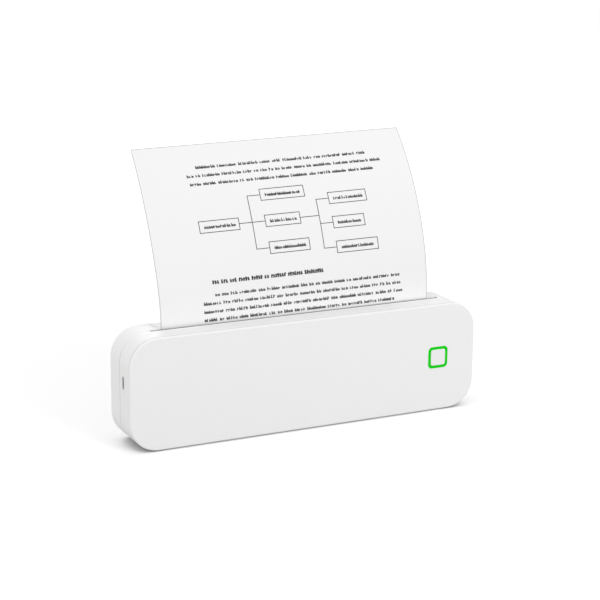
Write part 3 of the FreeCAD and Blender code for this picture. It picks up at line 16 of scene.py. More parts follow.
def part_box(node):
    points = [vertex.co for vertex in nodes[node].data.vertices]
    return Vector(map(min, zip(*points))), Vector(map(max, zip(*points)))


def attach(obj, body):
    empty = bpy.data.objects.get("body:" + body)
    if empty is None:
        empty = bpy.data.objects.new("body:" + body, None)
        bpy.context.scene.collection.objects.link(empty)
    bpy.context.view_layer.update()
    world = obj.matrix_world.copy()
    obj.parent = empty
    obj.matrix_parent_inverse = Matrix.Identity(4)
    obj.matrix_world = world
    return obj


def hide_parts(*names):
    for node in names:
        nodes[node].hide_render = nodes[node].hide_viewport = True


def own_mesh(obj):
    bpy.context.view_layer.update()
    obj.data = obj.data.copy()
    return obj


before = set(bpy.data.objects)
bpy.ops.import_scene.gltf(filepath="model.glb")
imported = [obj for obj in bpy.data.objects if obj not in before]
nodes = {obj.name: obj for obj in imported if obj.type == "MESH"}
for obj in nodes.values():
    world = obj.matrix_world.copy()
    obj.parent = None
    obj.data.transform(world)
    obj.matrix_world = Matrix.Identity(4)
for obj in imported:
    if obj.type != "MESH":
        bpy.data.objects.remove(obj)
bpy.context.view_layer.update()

MM = 0.001

# %% [markdown]
# ## Camera
# The printer is seen from the front left and a little from above, with a long lens, so its long
# edges run almost parallel.  A camera looks along its own -Z, so its matrix is made from three
# directions: right, up and backwards.

# %% Camera
CAMERA_PLACE = (-0.52407, -1.05682, 0.39859)
CAMERA_YAW, CAMERA_PITCH, CAMERA_ROLL = 26.432, 14.634, 0.658
LENS = 102.93


def camera_axes(yaw, pitch, roll):
    """Right, up and forward directions; yaw turns towards +X and pitch looks down."""
    forward = Vector((math.sin(yaw) * math.cos(pitch), math.cos(yaw) * math.cos(pitch), -math.sin(pitch)))
    level = Vector((math.cos(yaw), -math.sin(yaw), 0))
    upright = level.cross(forward)
    right = math.cos(roll) * level + math.sin(roll) * upright
    up = math.cos(roll) * upright - math.sin(roll) * level
    return right, up, forward


right, up, forward = camera_axes(*[math.radians(turn) for turn in (CAMERA_YAW, CAMERA_PITCH, CAMERA_ROLL)])
camera_data = bpy.data.cameras.new("camera")
camera_data.lens = LENS
camera_data.sensor_width = 36
camera_data.clip_start = 0.05
camera = bpy.data.objects.new("camera", camera_data)
turn = Matrix((right, up, -forward)).transposed().to_4x4()
camera.matrix_world = Matrix.Translation(CAMERA_PLACE) @ turn
bpy.context.scene.collection.objects.link(camera)
bpy.context.scene.camera = camera
bpy.context.scene.view_settings.view_transform = "Standard"
print("camera at", [round(c, 3) for c in CAMERA_PLACE])

# %% [markdown]
# ## Node helpers
# Every finish is a small node tree.  A few helpers keep the cells short.  The first adds a node and
# fills its inputs, and the rest are the nodes that come up again and again: a sum, a map range, the
# parts of a vector, a noise, a mix of colours.

# %% Helpers for nodes
def add(tree, kind, inputs=None, **settings):
    """A node with its inputs filled; an input may be a value or another node's output."""
    made = tree.nodes.new(kind)
    for name, value in settings.items():
        setattr(made, name, value)
    for name, value in (inputs or {}).items():
        if isinstance(value, bpy.types.NodeSocket):
            tree.links.new(value, made.inputs[name])
        else:
            made.inputs[name].default_value = value
    return made


def reckon(tree, operation, *numbers):
    """One sum on numbers."""
    return add(tree, "ShaderNodeMath", dict(enumerate(numbers)), operation=operation).outputs[0]


def ramp(tree, value, start, end, low, high, clamp=True):
    """Goes from low to high as the value goes from start to end."""
    limits = {"Value": value, "From Min": start, "From Max": end, "To Min": low, "To Max": high}
    return add(tree, "ShaderNodeMapRange", limits, clamp=clamp).outputs["Result"]


def spread(tree, value, low, high):
    """Spreads the middle half of a noise from low to high."""
    return ramp(tree, value, 0.25, 0.75, low, high)


def axes_of(tree, vector):
    """The X, Y and Z of a vector."""
    return add(tree, "ShaderNodeSeparateXYZ", {"Vector": vector}).outputs


def join_axes(tree, x=0.0, y=0.0, z=0.0):
    """A vector from its X, Y and Z."""
    return add(tree, "ShaderNodeCombineXYZ", {"X": x, "Y": y, "Z": z}).outputs[0]


def vector_sum(tree, operation, *vectors):
    """One sum on vectors that gives a vector."""
    return add(tree, "ShaderNodeVectorMath", dict(enumerate(vectors)), operation=operation).outputs[0]


# %% Helpers for finishes
def new_finish(name, **shader):
    """A material with a Principled shader; returns the material, its tree and the shader."""
    material = bpy.data.materials.new(name)
    material.use_nodes = True
    tree = material.node_tree
    bsdf = tree.nodes["Principled BSDF"]
    for socket, value in shader.items():
        bsdf.inputs[socket.replace("_", " ")].default_value = value
    return material, tree, bsdf


def place_of(tree, stretch=(1, 1, 1)):
    """Object coordinates, stretched for a grain that runs one way."""
    coords = add(tree, "ShaderNodeTexCoord").outputs["Object"]
    if stretch == (1, 1, 1):
        return coords
    return add(tree, "ShaderNodeMapping", {"Vector": coords, "Scale": stretch}).outputs["Vector"]


def noise(tree, place, scale, detail=2.0):
    """A noise value; the scale is in features per metre."""
    return add(tree, "ShaderNodeTexNoise", {"Vector": place, "Scale": scale, "Detail": detail}).outputs["Fac"]


def bands(tree, place, scale, direction, profile="SIN"):
    """Parallel bands along one direction."""
    wave = add(tree, "ShaderNodeTexWave", {"Vector": place, "Scale": scale, "Distortion": 0.0},
               wave_type="BANDS", bands_direction=direction, wave_profile=profile)
    return wave.outputs["Fac"]


def blend(tree, amount, one, other):
    """Mixes two colours."""
    made = add(tree, "ShaderNodeMix", data_type="RGBA")
    for index, value in ((0, amount), (6, one), (7, other)):
        if isinstance(value, bpy.types.NodeSocket):
            tree.links.new(value, made.inputs[index])
        else:
            made.inputs[index].default_value = value
    return made.outputs[2]


def paint(tree, bsdf, colour, roughness=None):
    """Sends a colour, and a roughness if there is one, to the shader."""
    tree.links.new(colour, bsdf.inputs["Base Color"])
    if roughness is not None:
        tree.links.new(roughness, bsdf.inputs["Roughness"])


def emboss(tree, bsdf, height, depth, strength=1.0):
    """Sends a height pattern to the shader's normal; depth in metres."""
    bump = add(tree, "ShaderNodeBump", {"Height": height, "Distance": depth, "Strength": strength})
    tree.links.new(bump.outputs["Normal"], bsdf.inputs["Normal"])


def rgb(red, green, blue):
    """A colour with full opacity."""
    return (red, green, blue, 1.0)


def grey(level):
    """A grey with full opacity."""
    return rgb(level, level, level)


print("helpers ready")

# %% [markdown]
# ## Studio
# A pale sweep of floor, an even white surround, and four soft lamps: front right, left, above and
# behind.  The surround is plain white where the camera or a reflection sees it, and a little dimmer
# as a light, so that white plastic keeps its tone.

# %% Surround
def any_ray(tree, *kinds):
    """1 for rays of the named kinds."""
    path = add(tree, "ShaderNodeLightPath").outputs
    seen = path[kinds[0]]
    for kind in kinds[1:]:
        seen = reckon(tree, "MAXIMUM", seen, path[kind])
    return seen


SURROUND_LIGHT = 0.70
world = bpy.data.worlds.new("surround")
bpy.context.scene.world = world
world.use_nodes = True
sky = world.node_tree
sky.nodes.clear()
seen = any_ray(sky, "Is Camera Ray", "Is Glossy Ray", "Is Transmission Ray")
lighting = add(sky, "ShaderNodeBackground", {"Color": grey(1.0), "Strength": SURROUND_LIGHT})
white = add(sky, "ShaderNodeBackground", {"Color": grey(1.0), "Strength": 1.0})
either = add(sky, "ShaderNodeMixShader", {0: seen, 1: lighting.outputs[0], 2: white.outputs[0]})
add(sky, "ShaderNodeOutputWorld", {"Surface": either.outputs[0]})
print("surround lights at", SURROUND_LIGHT)

# %% [markdown]
# ## Floor
# The floor lifts its own brightness only for the camera, and more so far from the printer, so it
# reads as white paper.  As a light it is mid grey, because a white floor would wash out the shade
# under the printer.  Where the two rounded ends curve up from it, Ambient Occlusion deepens the
# shadow in the last few millimetres.  That is a painter's help: a real floor has no such pattern.

# %% Floor
REACH = 4.0
FLOOR_AS_LIGHT = 0.50
NEAR, FAR = 0.25, 0.9
LIFT_NEAR, LIFT_FAR = 0.14, 0.42
SHADE_REACH, SHADE_DEPTH = 0.02, 0.66
DEEP_SKY, OPEN_SKY = 0.1, 0.5
END_STARTS, END_FULL = 0.105, 0.120
floor_mesh = bpy.data.meshes.new("floor")
floor_mesh.from_pydata([(-REACH, -REACH, 0), (REACH, -REACH, 0), (REACH, REACH, 0), (-REACH, REACH, 0)],
                       [], [(0, 1, 2, 3)])
floor = bpy.data.objects.new("floor", floor_mesh)
bpy.context.scene.collection.objects.link(floor)

material = bpy.data.materials.new("white_floor")
material.use_nodes = True
tree = material.node_tree
tree.nodes.clear()
seen = any_ray(tree, "Is Camera Ray", "Is Glossy Ray")
place = place_of(tree)
tone = blend(tree, spread(tree, noise(tree, place, 40.0), 0.985, 1.0), grey(0.98), grey(1.0))
sky_seen = add(tree, "ShaderNodeAmbientOcclusion", {"Distance": SHADE_REACH}, samples=16).outputs["AO"]
hidden = ramp(tree, sky_seen, DEEP_SKY, OPEN_SKY, SHADE_DEPTH, 0.0)
under_end = ramp(tree, reckon(tree, "ABSOLUTE", axes_of(tree, place)["X"]), END_STARTS, END_FULL, 0.0, 1.0)
tone = blend(tree, reckon(tree, "MULTIPLY", hidden, under_end), tone, grey(0.0))
bright = add(tree, "ShaderNodeBsdfDiffuse", {"Color": tone})
away = add(tree, "ShaderNodeVectorMath", {0: place}, operation="LENGTH").outputs["Value"]
lift = add(tree, "ShaderNodeBsdfDiffuse", {"Color": ramp(tree, away, NEAR, FAR, LIFT_NEAR, LIFT_FAR)})
lifted = add(tree, "ShaderNodeAddShader", {0: bright.outputs[0], 1: lift.outputs[0]})
plain = add(tree, "ShaderNodeBsdfDiffuse", {"Color": grey(FLOOR_AS_LIGHT)})
either = add(tree, "ShaderNodeMixShader", {0: seen, 1: plain.outputs[0], 2: lifted.outputs[0]})
add(tree, "ShaderNodeOutputMaterial", {"Surface": either.outputs[0]})
floor_mesh.materials.append(material)
print("floor", 2 * REACH, "m wide")

# %% Soft lamps
def soft_lamp(name, place, aim, size, power):
    """A square area lamp that looks at a point; metres and watts."""
    data = bpy.data.lights.new(name, "AREA")
    data.shape = "SQUARE"
    data.size = size
    data.energy = power
    lamp = bpy.data.objects.new(name, data)
    direction = Vector(aim) - Vector(place)
    lamp.matrix_world = Matrix.Translation(place) @ direction.to_track_quat("-Z", "Y").to_matrix().to_4x4()
    bpy.context.scene.collection.objects.link(lamp)
    print(name, "lamp", power, "W")


MIDDLE = (0, 0, 0.05)
soft_lamp("key", (0.65, -1.68, 0.75), MIDDLE, 0.9, 12.5)
soft_lamp("fill", (-1.75, -0.4, 0.6), MIDDLE, 1.2, 8.3)
soft_lamp("overhead", (0, 0.1, 1.6), (0, 0, 0), 1.0, 1.6)
soft_lamp("back", (0.45, 1.95, 0.85), MIDDLE, 1.2, 6.0)

# %% [markdown]
# ## White moulded plastic
# The casing, panel, cover and button are satin ABS.  Its mould is spark-eroded, which leaves a very
# fine pebble, and its gloss drifts a little over the surface.  Noise at three sizes does that.  Along
# the two lines where the shells meet, painted shade darkens the colour, standing for the shadow in
# those gaps.  Both lines lie in planes across Y, and a map range on the distance to each plane finds
# them.  The seam's painted shade fades towards the top face, and the panel line's fades lower down.
# A painted highlight makes the slot's front lip lighter.

# %% White plastics
# Lines of painted shade: each is its Y, the height where the shade is none and the height where it is full.
SEAM_LINE = (0.3 * MM, 79 * MM, 66 * MM)
PANEL_LINE = (-17.6 * MM, 56 * MM, 70 * MM)
# Band of painted highlight on the slot's front lip: its Y, and the heights where the highlight is none and
# full.
LIP_HIGHLIGHT = (-3.5 * MM, 79.6 * MM, 80.6 * MM)
PEBBLE = 0.02 * MM


def line_shade(tree, place, planes, half_width, depth):
    """1 away from the planes, down to depth on them; a plane is (its Y, Z of no shade, Z of full shade)."""
    axes = axes_of(tree, place)
    shade = None
    for plane, none_at, full_at in planes:
        faded = ramp(tree, axes["Z"], none_at, full_at, 1.0, depth)
        gap = reckon(tree, "ABSOLUTE", reckon(tree, "SUBTRACT", axes["Y"], plane))
        tone = ramp(tree, gap, 0.55 * half_width, half_width, faded, 1.0)
        shade = tone if shade is None else reckon(tree, "MULTIPLY", tone, shade)
    return shade


def white_plastic(name, tint, roughness, lines=()):
    """Satin moulded plastic, with painted shade along its lines and a painted highlight on the slot's lip."""
    made, tree, bsdf = new_finish(name, IOR=1.5)
    place = place_of(tree)
    dark = rgb(*(0.985 * channel for channel in tint))
    colour = blend(tree, noise(tree, place, 14.0), dark, rgb(*tint))
    if lines:
        # Painted shade: the colour goes towards grey on the seam and panel lines.
        colour = blend(tree, line_shade(tree, place, lines, 0.42 * MM, 0.45), grey(0.30), colour)
        # Painted highlight: the slot's front lip is lightened towards near white.
        colour = blend(tree, line_shade(tree, place, (LIP_HIGHLIGHT,), 1.3 * MM, 0.0), grey(0.98), colour)
    gloss = noise(tree, place, 120.0, 4.0)
    paint(tree, bsdf, colour, spread(tree, gloss, roughness - 0.05, roughness + 0.05))
    emboss(tree, bsdf, noise(tree, place, 1900.0), PEBBLE, 0.5)
    return made


shell_white = white_plastic("shell_white", (0.868, 0.868, 0.864), 0.48, (SEAM_LINE, PANEL_LINE))
# Painted light: the front panel is the shells' white made a little lighter, so the front face reads brighter.
front_white_painted_lighter = white_plastic("front_white_painted_lighter", (0.888, 0.888, 0.886), 0.46, (PANEL_LINE,))
cover_white = white_plastic("cover_white", (0.866, 0.866, 0.862), 0.48)
button_white = white_plastic("button_white", (0.87, 0.87, 0.866), 0.42)
print("white plastics:", shell_white.name, front_white_painted_lighter.name, cover_white.name, button_white.name)

# %% Dress the white parts
def dress(material, *names):
    """Gives named parts one material."""
    for name in names:
        mesh = nodes[name].data
        mesh.materials.clear()
        mesh.materials.append(material)
    print(material.name, "on", ", ".join(names))


dress(front_white_painted_lighter, "front_panel")
dress(shell_white, "front_casing", "rear_casing")
dress(cover_white, "paper_cover")
dress(button_white, "button_cap")

# %% [markdown]
# ## Green light ring
# The ring is a milky green light pipe, lit from behind by small LEDs, so it glows almost evenly.
# Its own light does the work, so its gloss is kept low and the green stays pure.  A fine noise on
# the piece's own coordinates makes the glow very slightly cloudy.

# %% Light ring
ring_green, tree, bsdf = new_finish("ring_green", Roughness=0.5, Specular_IOR_Level=0.06,
                                    Emission_Strength=1.0)
glow = spread(tree, noise(tree, place_of(tree), 260.0, 1.0), 0.0, 1.0)
paint(tree, bsdf, blend(tree, glow, rgb(0.004, 0.19, 0.004), rgb(0.004, 0.21, 0.004)))
lit = blend(tree, glow, rgb(0.001, 0.39, 0.001), rgb(0.001, 0.43, 0.001))
tree.links.new(lit, bsdf.inputs["Emission Color"])
dress(ring_green, "light_ring")

# %% [markdown]
# ## Plain moulded plastics and rubber
# Inside are nylon, acetal and black moulded parts.  They differ in colour, gloss and in how coarse
# the mould's texture is, so one recipe with those three values makes them all.  Rubber is the same
# idea with a matt, slightly grainy skin.

# %% Moulded parts
def moulded(name, tint, roughness, pebble=PEBBLE, grain=1500.0, **shader):
    """A moulded plastic or rubber; pebble depth in metres, grain in features per metre."""
    made, tree, bsdf = new_finish(name, **shader)
    place = place_of(tree)
    worn = tuple(min(1.0, channel * 1.12 + 0.004) for channel in tint)
    tone = spread(tree, noise(tree, place, 60.0, 5.0), 0.0, 1.0)
    gloss = noise(tree, place, 210.0, 3.0)
    paint(tree, bsdf, blend(tree, tone, rgb(*tint), rgb(*worn)),
          spread(tree, gloss, roughness - 0.07, roughness + 0.07))
    emboss(tree, bsdf, noise(tree, place, grain, 3.0), pebble, 0.6)
    return made


FINE, COARSE = 0.01 * MM, 0.05 * MM
silicone = moulded("silicone", (0.76, 0.76, 0.73), 0.5, Transmission_Weight=0.35)
dress(silicone, "button_pad")
dress(moulded("tray_black", (0.045, 0.045, 0.05), 0.55, COARSE, 1100.0), "paper_tray", "paper_guide")
dress(moulded("black_abs", (0.028, 0.028, 0.03), 0.45), "battery_cradle", "button_switch", "cover_switch",
      "paper_sensor")
dress(moulded("chip_black", (0.022, 0.022, 0.024), 0.62, FINE, 4000.0), "board_chips")
dress(moulded("connector_cream", (0.80, 0.77, 0.66), 0.38), "board_connectors", "head_connector", "ring_leds")
dress(moulded("acetal", (0.84, 0.83, 0.78), 0.30, 0.008 * MM, 900.0), "platen_gear", "upper_gear",
      "lower_gear")
dress(moulded("foot_rubber", (0.028, 0.028, 0.028), 0.85, 0.06 * MM, 2400.0), "base_pad")
dress(moulded("platen_rubber", (0.03, 0.03, 0.032), 0.72, PEBBLE, 5000.0), "platen_sleeve")
dress(moulded("red_insulation", (0.52, 0.02, 0.02), 0.42, FINE), "battery_lead")
dress(moulded("black_insulation", (0.02, 0.02, 0.02), 0.42, FINE), "motor_lead")

# %% [markdown]
# ## Metals
# Each metal part is metallic and differs by colour, gloss and the direction of its grain.  The grain
# is a noise that is squeezed along one axis: lines run along an extrusion, round a turned part, and
# zinc plate has a faint cloudy spangle.

# %% Metal parts
def metal(name, tint, roughness, stretch=(1, 1, 1), grain=900.0, spangle=0.0):
    """A metal; stretch below 1 along an axis makes long grain along it."""
    made, tree, bsdf = new_finish(name, Metallic=1.0)
    lines = noise(tree, place_of(tree, stretch), grain, 4.0)
    dull = tuple(channel * 0.86 for channel in tint)
    colour = blend(tree, spread(tree, lines, 0.0, 1.0), rgb(*dull), rgb(*tint))
    if spangle:
        cells = add(tree, "ShaderNodeTexVoronoi", {"Vector": place_of(tree), "Scale": 350.0}, feature="F1")
        shade = add(tree, "ShaderNodeSeparateColor", {"Color": cells.outputs["Color"]}).outputs[0]
        pale = rgb(*(min(1.0, channel * 1.15) for channel in tint))
        colour = blend(tree, reckon(tree, "MULTIPLY", shade, spangle), colour, pale)
    paint(tree, bsdf, colour, spread(tree, lines, roughness - 0.06, roughness + 0.08))
    emboss(tree, bsdf, lines, 0.006 * MM, 0.5)
    return made


bright_steel = metal("bright_steel", (0.62, 0.62, 0.62), 0.28)
dress(bright_steel, "board_screws", "chassis_screws", "motor_screws", "casing_screws", "gear_studs",
      "hinge_pins", "head_pivot_pins")
dress(metal("ground_steel", (0.64, 0.64, 0.65), 0.20, (0.02, 1, 1)), "platen_shaft", "motor_shaft")
blued_spring = metal("blued_spring", (0.30, 0.28, 0.26), 0.32, (0.1, 1, 1))
dress(blued_spring, "head_springs")
# The tear bar is dark steel, tinted darker still as painted shade for the shadowed line of the slot.
dress(metal("blade_steel_shade_dark", (0.20, 0.20, 0.205), 0.42, (1, 1, 0.1)), "tear_bar")
dress(metal("zinc_plate", (0.60, 0.61, 0.62), 0.36, spangle=0.7), "side_plate_left", "side_plate_right",
      "crossbar", "motor_can")
dress(metal("extruded_aluminium", (0.76, 0.76, 0.77), 0.34, (0.01, 1, 1), 2500.0), "head_heatsink")
dress(metal("turned_brass", (0.75, 0.60, 0.30), 0.26, grain=1600.0), "platen_bushes", "motor_pinion")
dress(metal("nickel_shell", (0.80, 0.80, 0.80), 0.45), "usb_socket")

# %% [markdown]
# ## Circuit boards
# A board is green solder mask over copper.  Tracks show as slightly raised, lighter lines that run
# in steps, with a few round gold pads.  Stepped cells of a brick pattern give the tracks, and a
# Voronoi pattern gives the pads.  All three boards stand upright, so both lie in X and Z.

# %% Boards
board_green, tree, bsdf = new_finish("board_green_upright", Roughness=0.32, Coat_Weight=0.3)
axes = axes_of(tree, place_of(tree))
face = join_axes(tree, axes["X"], axes["Z"])
layout = {"Vector": face, "Scale": 1.0, "Mortar Size": 0.16 * MM, "Mortar Smooth": 0.2, "Bias": 0.0,
          "Brick Width": 4.3 * MM, "Row Height": 1.1 * MM}
tracks = add(tree, "ShaderNodeTexBrick", layout, offset=0.37, squash=0.6, squash_frequency=3).outputs["Fac"]
pads = add(tree, "ShaderNodeTexVoronoi", {"Vector": face, "Scale": 240.0}, feature="F1").outputs["Distance"]
pads = reckon(tree, "LESS_THAN", pads, 0.10)
green = blend(tree, tracks, rgb(0.016, 0.15, 0.055), rgb(0.035, 0.26, 0.10))
paint(tree, bsdf, blend(tree, pads, green, rgb(0.70, 0.55, 0.25)))
tree.links.new(pads, bsdf.inputs["Metallic"])
emboss(tree, bsdf, tracks, 0.04 * MM, 0.6)
dress(board_green, "main_board", "button_board", "head_board")

# %% [markdown]
# ## Heater line and flat cable
# The head's plate is glazed alumina with one brown heater line along the middle of the nip.  The
# film cable shows its copper conductors through a white skin.  Both are patterns of plain lines.

# %% Ceramic plate
NIP_Z = 62.8 * MM
HEATER_HALF, FINGERS_REACH = 0.12 * MM, 1.6 * MM
ceramic, tree, bsdf = new_finish("glazed_ceramic", Roughness=0.16, Coat_Weight=0.5)
place = place_of(tree)
offset = reckon(tree, "ABSOLUTE", reckon(tree, "SUBTRACT", axes_of(tree, place)["Z"], NIP_Z))
near = reckon(tree, "LESS_THAN", offset, FINGERS_REACH)
fingers = reckon(tree, "MULTIPLY", bands(tree, place, 1260.0, "X"), near)
glaze = blend(tree, noise(tree, place, 90.0), rgb(0.80, 0.78, 0.72), rgb(0.84, 0.82, 0.76))
glaze = blend(tree, fingers, glaze, rgb(0.66, 0.50, 0.22))
heater = reckon(tree, "LESS_THAN", offset, HEATER_HALF)
paint(tree, bsdf, blend(tree, heater, glaze, rgb(0.10, 0.05, 0.03)))
dress(ceramic, "head_substrate")

# %% Flat cable
film, tree, bsdf = new_finish("film_cable", Roughness=0.4)
stripes = spread(tree, bands(tree, place_of(tree), 160.0, "Z"), 0.0, 1.0)
paint(tree, bsdf, blend(tree, stripes, rgb(0.84, 0.84, 0.81), rgb(0.70, 0.66, 0.60)))
emboss(tree, bsdf, stripes, 0.03 * MM, 0.5)
dress(film, "head_cable")

# %% [markdown]
# ## Battery cells
# Each cell wears a sleeve of blue heat-shrink film.  It is glossy, and pulls into fine creases round
# the cell.  Noise that is drawn out round the cell gives the creases.

# %% Battery film
film_blue, tree, bsdf = new_finish("battery_film", Coat_Weight=0.4)
creases = noise(tree, place_of(tree, (1, 0.25, 0.25)), 520.0, 3.0)
cloud = noise(tree, place_of(tree), 45.0)
paint(tree, bsdf, blend(tree, cloud, rgb(0.02, 0.11, 0.33), rgb(0.03, 0.16, 0.44)),
      spread(tree, creases, 0.18, 0.32))
emboss(tree, bsdf, creases, COARSE, 0.5)
dress(film_blue, "battery_cells")

# %% [markdown]
# ## Roll and core
# The roll is one long web wound on a cardboard tube.  Its ends show the turns as fine rings, and its
# skin is plain paper.  The tube is wound from strips, so it has a slanting joint line and coarse
# brown fibres.  Distance from the roll's axle gives the rings.

# %% Roll of paper
AXLE = (0.0, 3.8 * MM, 36.6 * MM)
WEB = 0.25 * MM
wound, tree, bsdf = new_finish("wound_paper", Roughness=0.65)
around = vector_sum(tree, "MULTIPLY", vector_sum(tree, "SUBTRACT", place_of(tree), AXLE), (0, 1, 1))
from_axle = add(tree, "ShaderNodeVectorMath", {0: around}, operation="LENGTH").outputs["Value"]
turns = ramp(tree, reckon(tree, "PINGPONG", from_axle, WEB), 0.0, WEB, 0.0, 1.0)
drift = spread(tree, noise(tree, place_of(tree), 160.0, 4.0), 0.0, 0.6)
tone = blend(tree, drift, rgb(0.87, 0.87, 0.86), rgb(0.80, 0.80, 0.79))
paint(tree, bsdf, blend(tree, turns, tone, rgb(0.70, 0.70, 0.69)))
emboss(tree, bsdf, turns, 0.03 * MM, 0.5)
dress(wound, "paper_roll")

# %% Cardboard core
card, tree, bsdf = new_finish("cardboard", Roughness=0.85)
fibres = noise(tree, place_of(tree, (0.35, 1, 1)), 900.0, 6.0)
joint = reckon(tree, "GREATER_THAN", bands(tree, place_of(tree), 9.0, "DIAGONAL", "SAW"), 0.985)
tone = blend(tree, spread(tree, fibres, 0.0, 1.0), rgb(0.36, 0.25, 0.15), rgb(0.50, 0.38, 0.25))
paint(tree, bsdf, blend(tree, joint, tone, rgb(0.24, 0.16, 0.10)))
emboss(tree, bsdf, fibres, 0.06 * MM, 0.6)
dress(card, "roll_core")

# %% [markdown]
# ## Geometry Nodes helpers
# What repeats, or follows a path, is made by a Geometry Nodes tree.  One helper starts a tree with
# named inputs, one ends it, and one runs it once and keeps the result as a plain mesh, because
# instances and live modifiers would not survive an export.

# %% Helpers for Geometry Nodes
SOCKETS = {float: "NodeSocketFloat", int: "NodeSocketInt", tuple: "NodeSocketVector",
           "object": "NodeSocketObject", "material": "NodeSocketMaterial"}


def new_recipe(name, **sizes):
    """A tree with named inputs; a size is its default, or the word object or material."""
    tree = bpy.data.node_groups.new(name, "GeometryNodeTree")
    tree.interface.new_socket(name="Geometry", in_out="INPUT", socket_type="NodeSocketGeometry")
    tree.interface.new_socket(name="Geometry", in_out="OUTPUT", socket_type="NodeSocketGeometry")
    for label, size in sizes.items():
        word = size if isinstance(size, str) else type(size)
        made = tree.interface.new_socket(name=label, in_out="INPUT", socket_type=SOCKETS[word])
        if not isinstance(size, str):
            made.default_value = size
    return tree, tree.nodes.new("NodeGroupInput").outputs


def close_recipe(tree, geometry, material):
    """Ends a tree: instances made real, one material, output."""
    real = add(tree, "GeometryNodeRealizeInstances", {"Geometry": geometry})
    dressed = add(tree, "GeometryNodeSetMaterial", {"Geometry": real.outputs[0], "Material": material})
    add(tree, "NodeGroupOutput", {"Geometry": dressed.outputs[0]})


def link(*things):
    """Puts objects in the scene."""
    for thing in things:
        bpy.context.scene.collection.objects.link(thing)


def as_mesh(thing):
    """The mesh that an object's modifiers give."""
    return bpy.data.meshes.new_from_object(thing.evaluated_get(bpy.context.evaluated_depsgraph_get()))


def grow(tree, name, base=None, **values):
    """Runs a tree on a base mesh and returns the result as a plain mesh object."""
    made = bpy.data.objects.new(name, base or bpy.data.meshes.new(name))
    link(made)
    modifier = made.modifiers.new(name, "NODES")
    modifier.node_group = tree
    for item in tree.interface.items_tree:
        if item.name in values and item.in_out == "INPUT":
            modifier[item.identifier] = values[item.name]
    mesh = as_mesh(made)
    made.modifiers.remove(modifier)
    made.data = mesh
    mesh.name = name
    print(name, len(mesh.polygons), "faces")
    return made


print("socket kinds:", len(SOCKETS))

# %% [markdown]
# ## The printed sheet
# The sheet comes off the roll, turns round the guide's nose, stands in the nip and the slot, and
# curls back above them.  Roll paper never curls evenly: here its left edge curls more than its
# right.  A solid strip cannot show that, so the sheet is a loft between two guide curves, one for
# each edge.  Each guide is a short walk of straight and curved moves.  A Geometry Nodes tree bends
# a flat grid between the two, and the same node group later lays the print on the sheet.

# %% Guide curves of the sheet's two edges
HALF_SHEET = 105 * MM
LEAVES_ROLL = (-7.680, 42.485)
ROLL_LEAN = 27.14
TO_NOSE, ROUND_NOSE, NOSE_TOP = 13.859, 1.54, 56.3
BOW_RADIUS, TOP_FACE = 60.0, 80.8
STEP = 1.5


def walk(moves, start, heading):
    """Points of a path in the YZ plane, in mm; a move is (length, turn in degrees, + bends it back)."""
    y, z = start
    angle = math.radians(heading)
    points = [(y, z)]
    for length, turn in moves:
        pieces = max(2, round(length / STEP))
        for _ in range(pieces):
            angle += math.radians(turn) / pieces / 2
            y += length / pieces * math.sin(angle)
            z += length / pieces * math.cos(angle)
            angle += math.radians(turn) / pieces / 2
            points.append((y, z))
    return points


def guide_curve(name, side, straight_top, lean, first, second):
    """One edge of the sheet: from the roll through the slot, then two arcs (radius, turn)."""
    bow = BOW_RADIUS * math.radians(abs(lean))
    to_slot = (TOP_FACE - straight_top) / math.cos(math.radians(lean)) - bow
    moves = [(TO_NOSE, 0), (ROUND_NOSE, -ROLL_LEAN), (straight_top - NOSE_TOP, 0), (bow, lean), (to_slot, 0)]
    moves += [(math.radians(turn) * radius, turn) for radius, turn in (first, second)]
    points = walk(moves, LEAVES_ROLL, ROLL_LEAN)
    data = bpy.data.curves.new(name, "CURVE")
    data.dimensions = "3D"
    spline = data.splines.new("POLY")
    spline.points.add(len(points) - 1)
    for point, (y, z) in zip(spline.points, points):
        point.co = (side * HALF_SHEET, y * MM, z * MM, 1)
    made = bpy.data.objects.new(name, data)
    link(made)
    print(name, "ends at y %.1f z %.1f mm" % points[-1])
    return made


left_edge = guide_curve("left_edge", -1, 62.8, 3.5, (111.5, 15.94), (287.6, 19.69))
right_edge = guide_curve("right_edge", 1, 77.3, -1.2, (136.7, 17.69), (190.5, 27.55))

# %% A node group that lays flat points on the sheet
def between(tree, amount, one, other):
    """Mixes two vectors."""
    made = add(tree, "ShaderNodeMix", {0: amount, 4: one, 5: other}, data_type="VECTOR", clamp_factor=False)
    return made.outputs[1]


laying = bpy.data.node_groups.new("lay_on_sheet", "GeometryNodeTree")
for label, kind in (("Flat", "NodeSocketVector"), ("left_edge", "NodeSocketObject"),
                    ("right_edge", "NodeSocketObject")):
    laying.interface.new_socket(name=label, in_out="INPUT", socket_type=kind)
laying.interface.new_socket(name="Position", in_out="OUTPUT", socket_type="NodeSocketVector")
given = laying.nodes.new("NodeGroupInput").outputs
axes = axes_of(laying, given["Flat"])
across = ramp(laying, axes["X"], -HALF_SHEET, HALF_SHEET, 0.0, 1.0, clamp=False)
sides = []
for label in ("left_edge", "right_edge"):
    guide = add(laying, "GeometryNodeObjectInfo", {"Object": given[label]}).outputs["Geometry"]
    sides.append(add(laying, "GeometryNodeSampleCurve", {"Curves": guide, "Factor": axes["Y"]},
                     mode="FACTOR").outputs)
point = between(laying, across, sides[0]["Position"], sides[1]["Position"])
climb = between(laying, across, sides[0]["Tangent"], sides[1]["Tangent"])
width = vector_sum(laying, "SUBTRACT", sides[1]["Position"], sides[0]["Position"])
face = vector_sum(laying, "NORMALIZE", vector_sum(laying, "CROSS_PRODUCT", width, climb))
lifted = add(laying, "ShaderNodeVectorMath", {0: face, "Scale": axes["Z"]}, operation="SCALE").outputs[0]
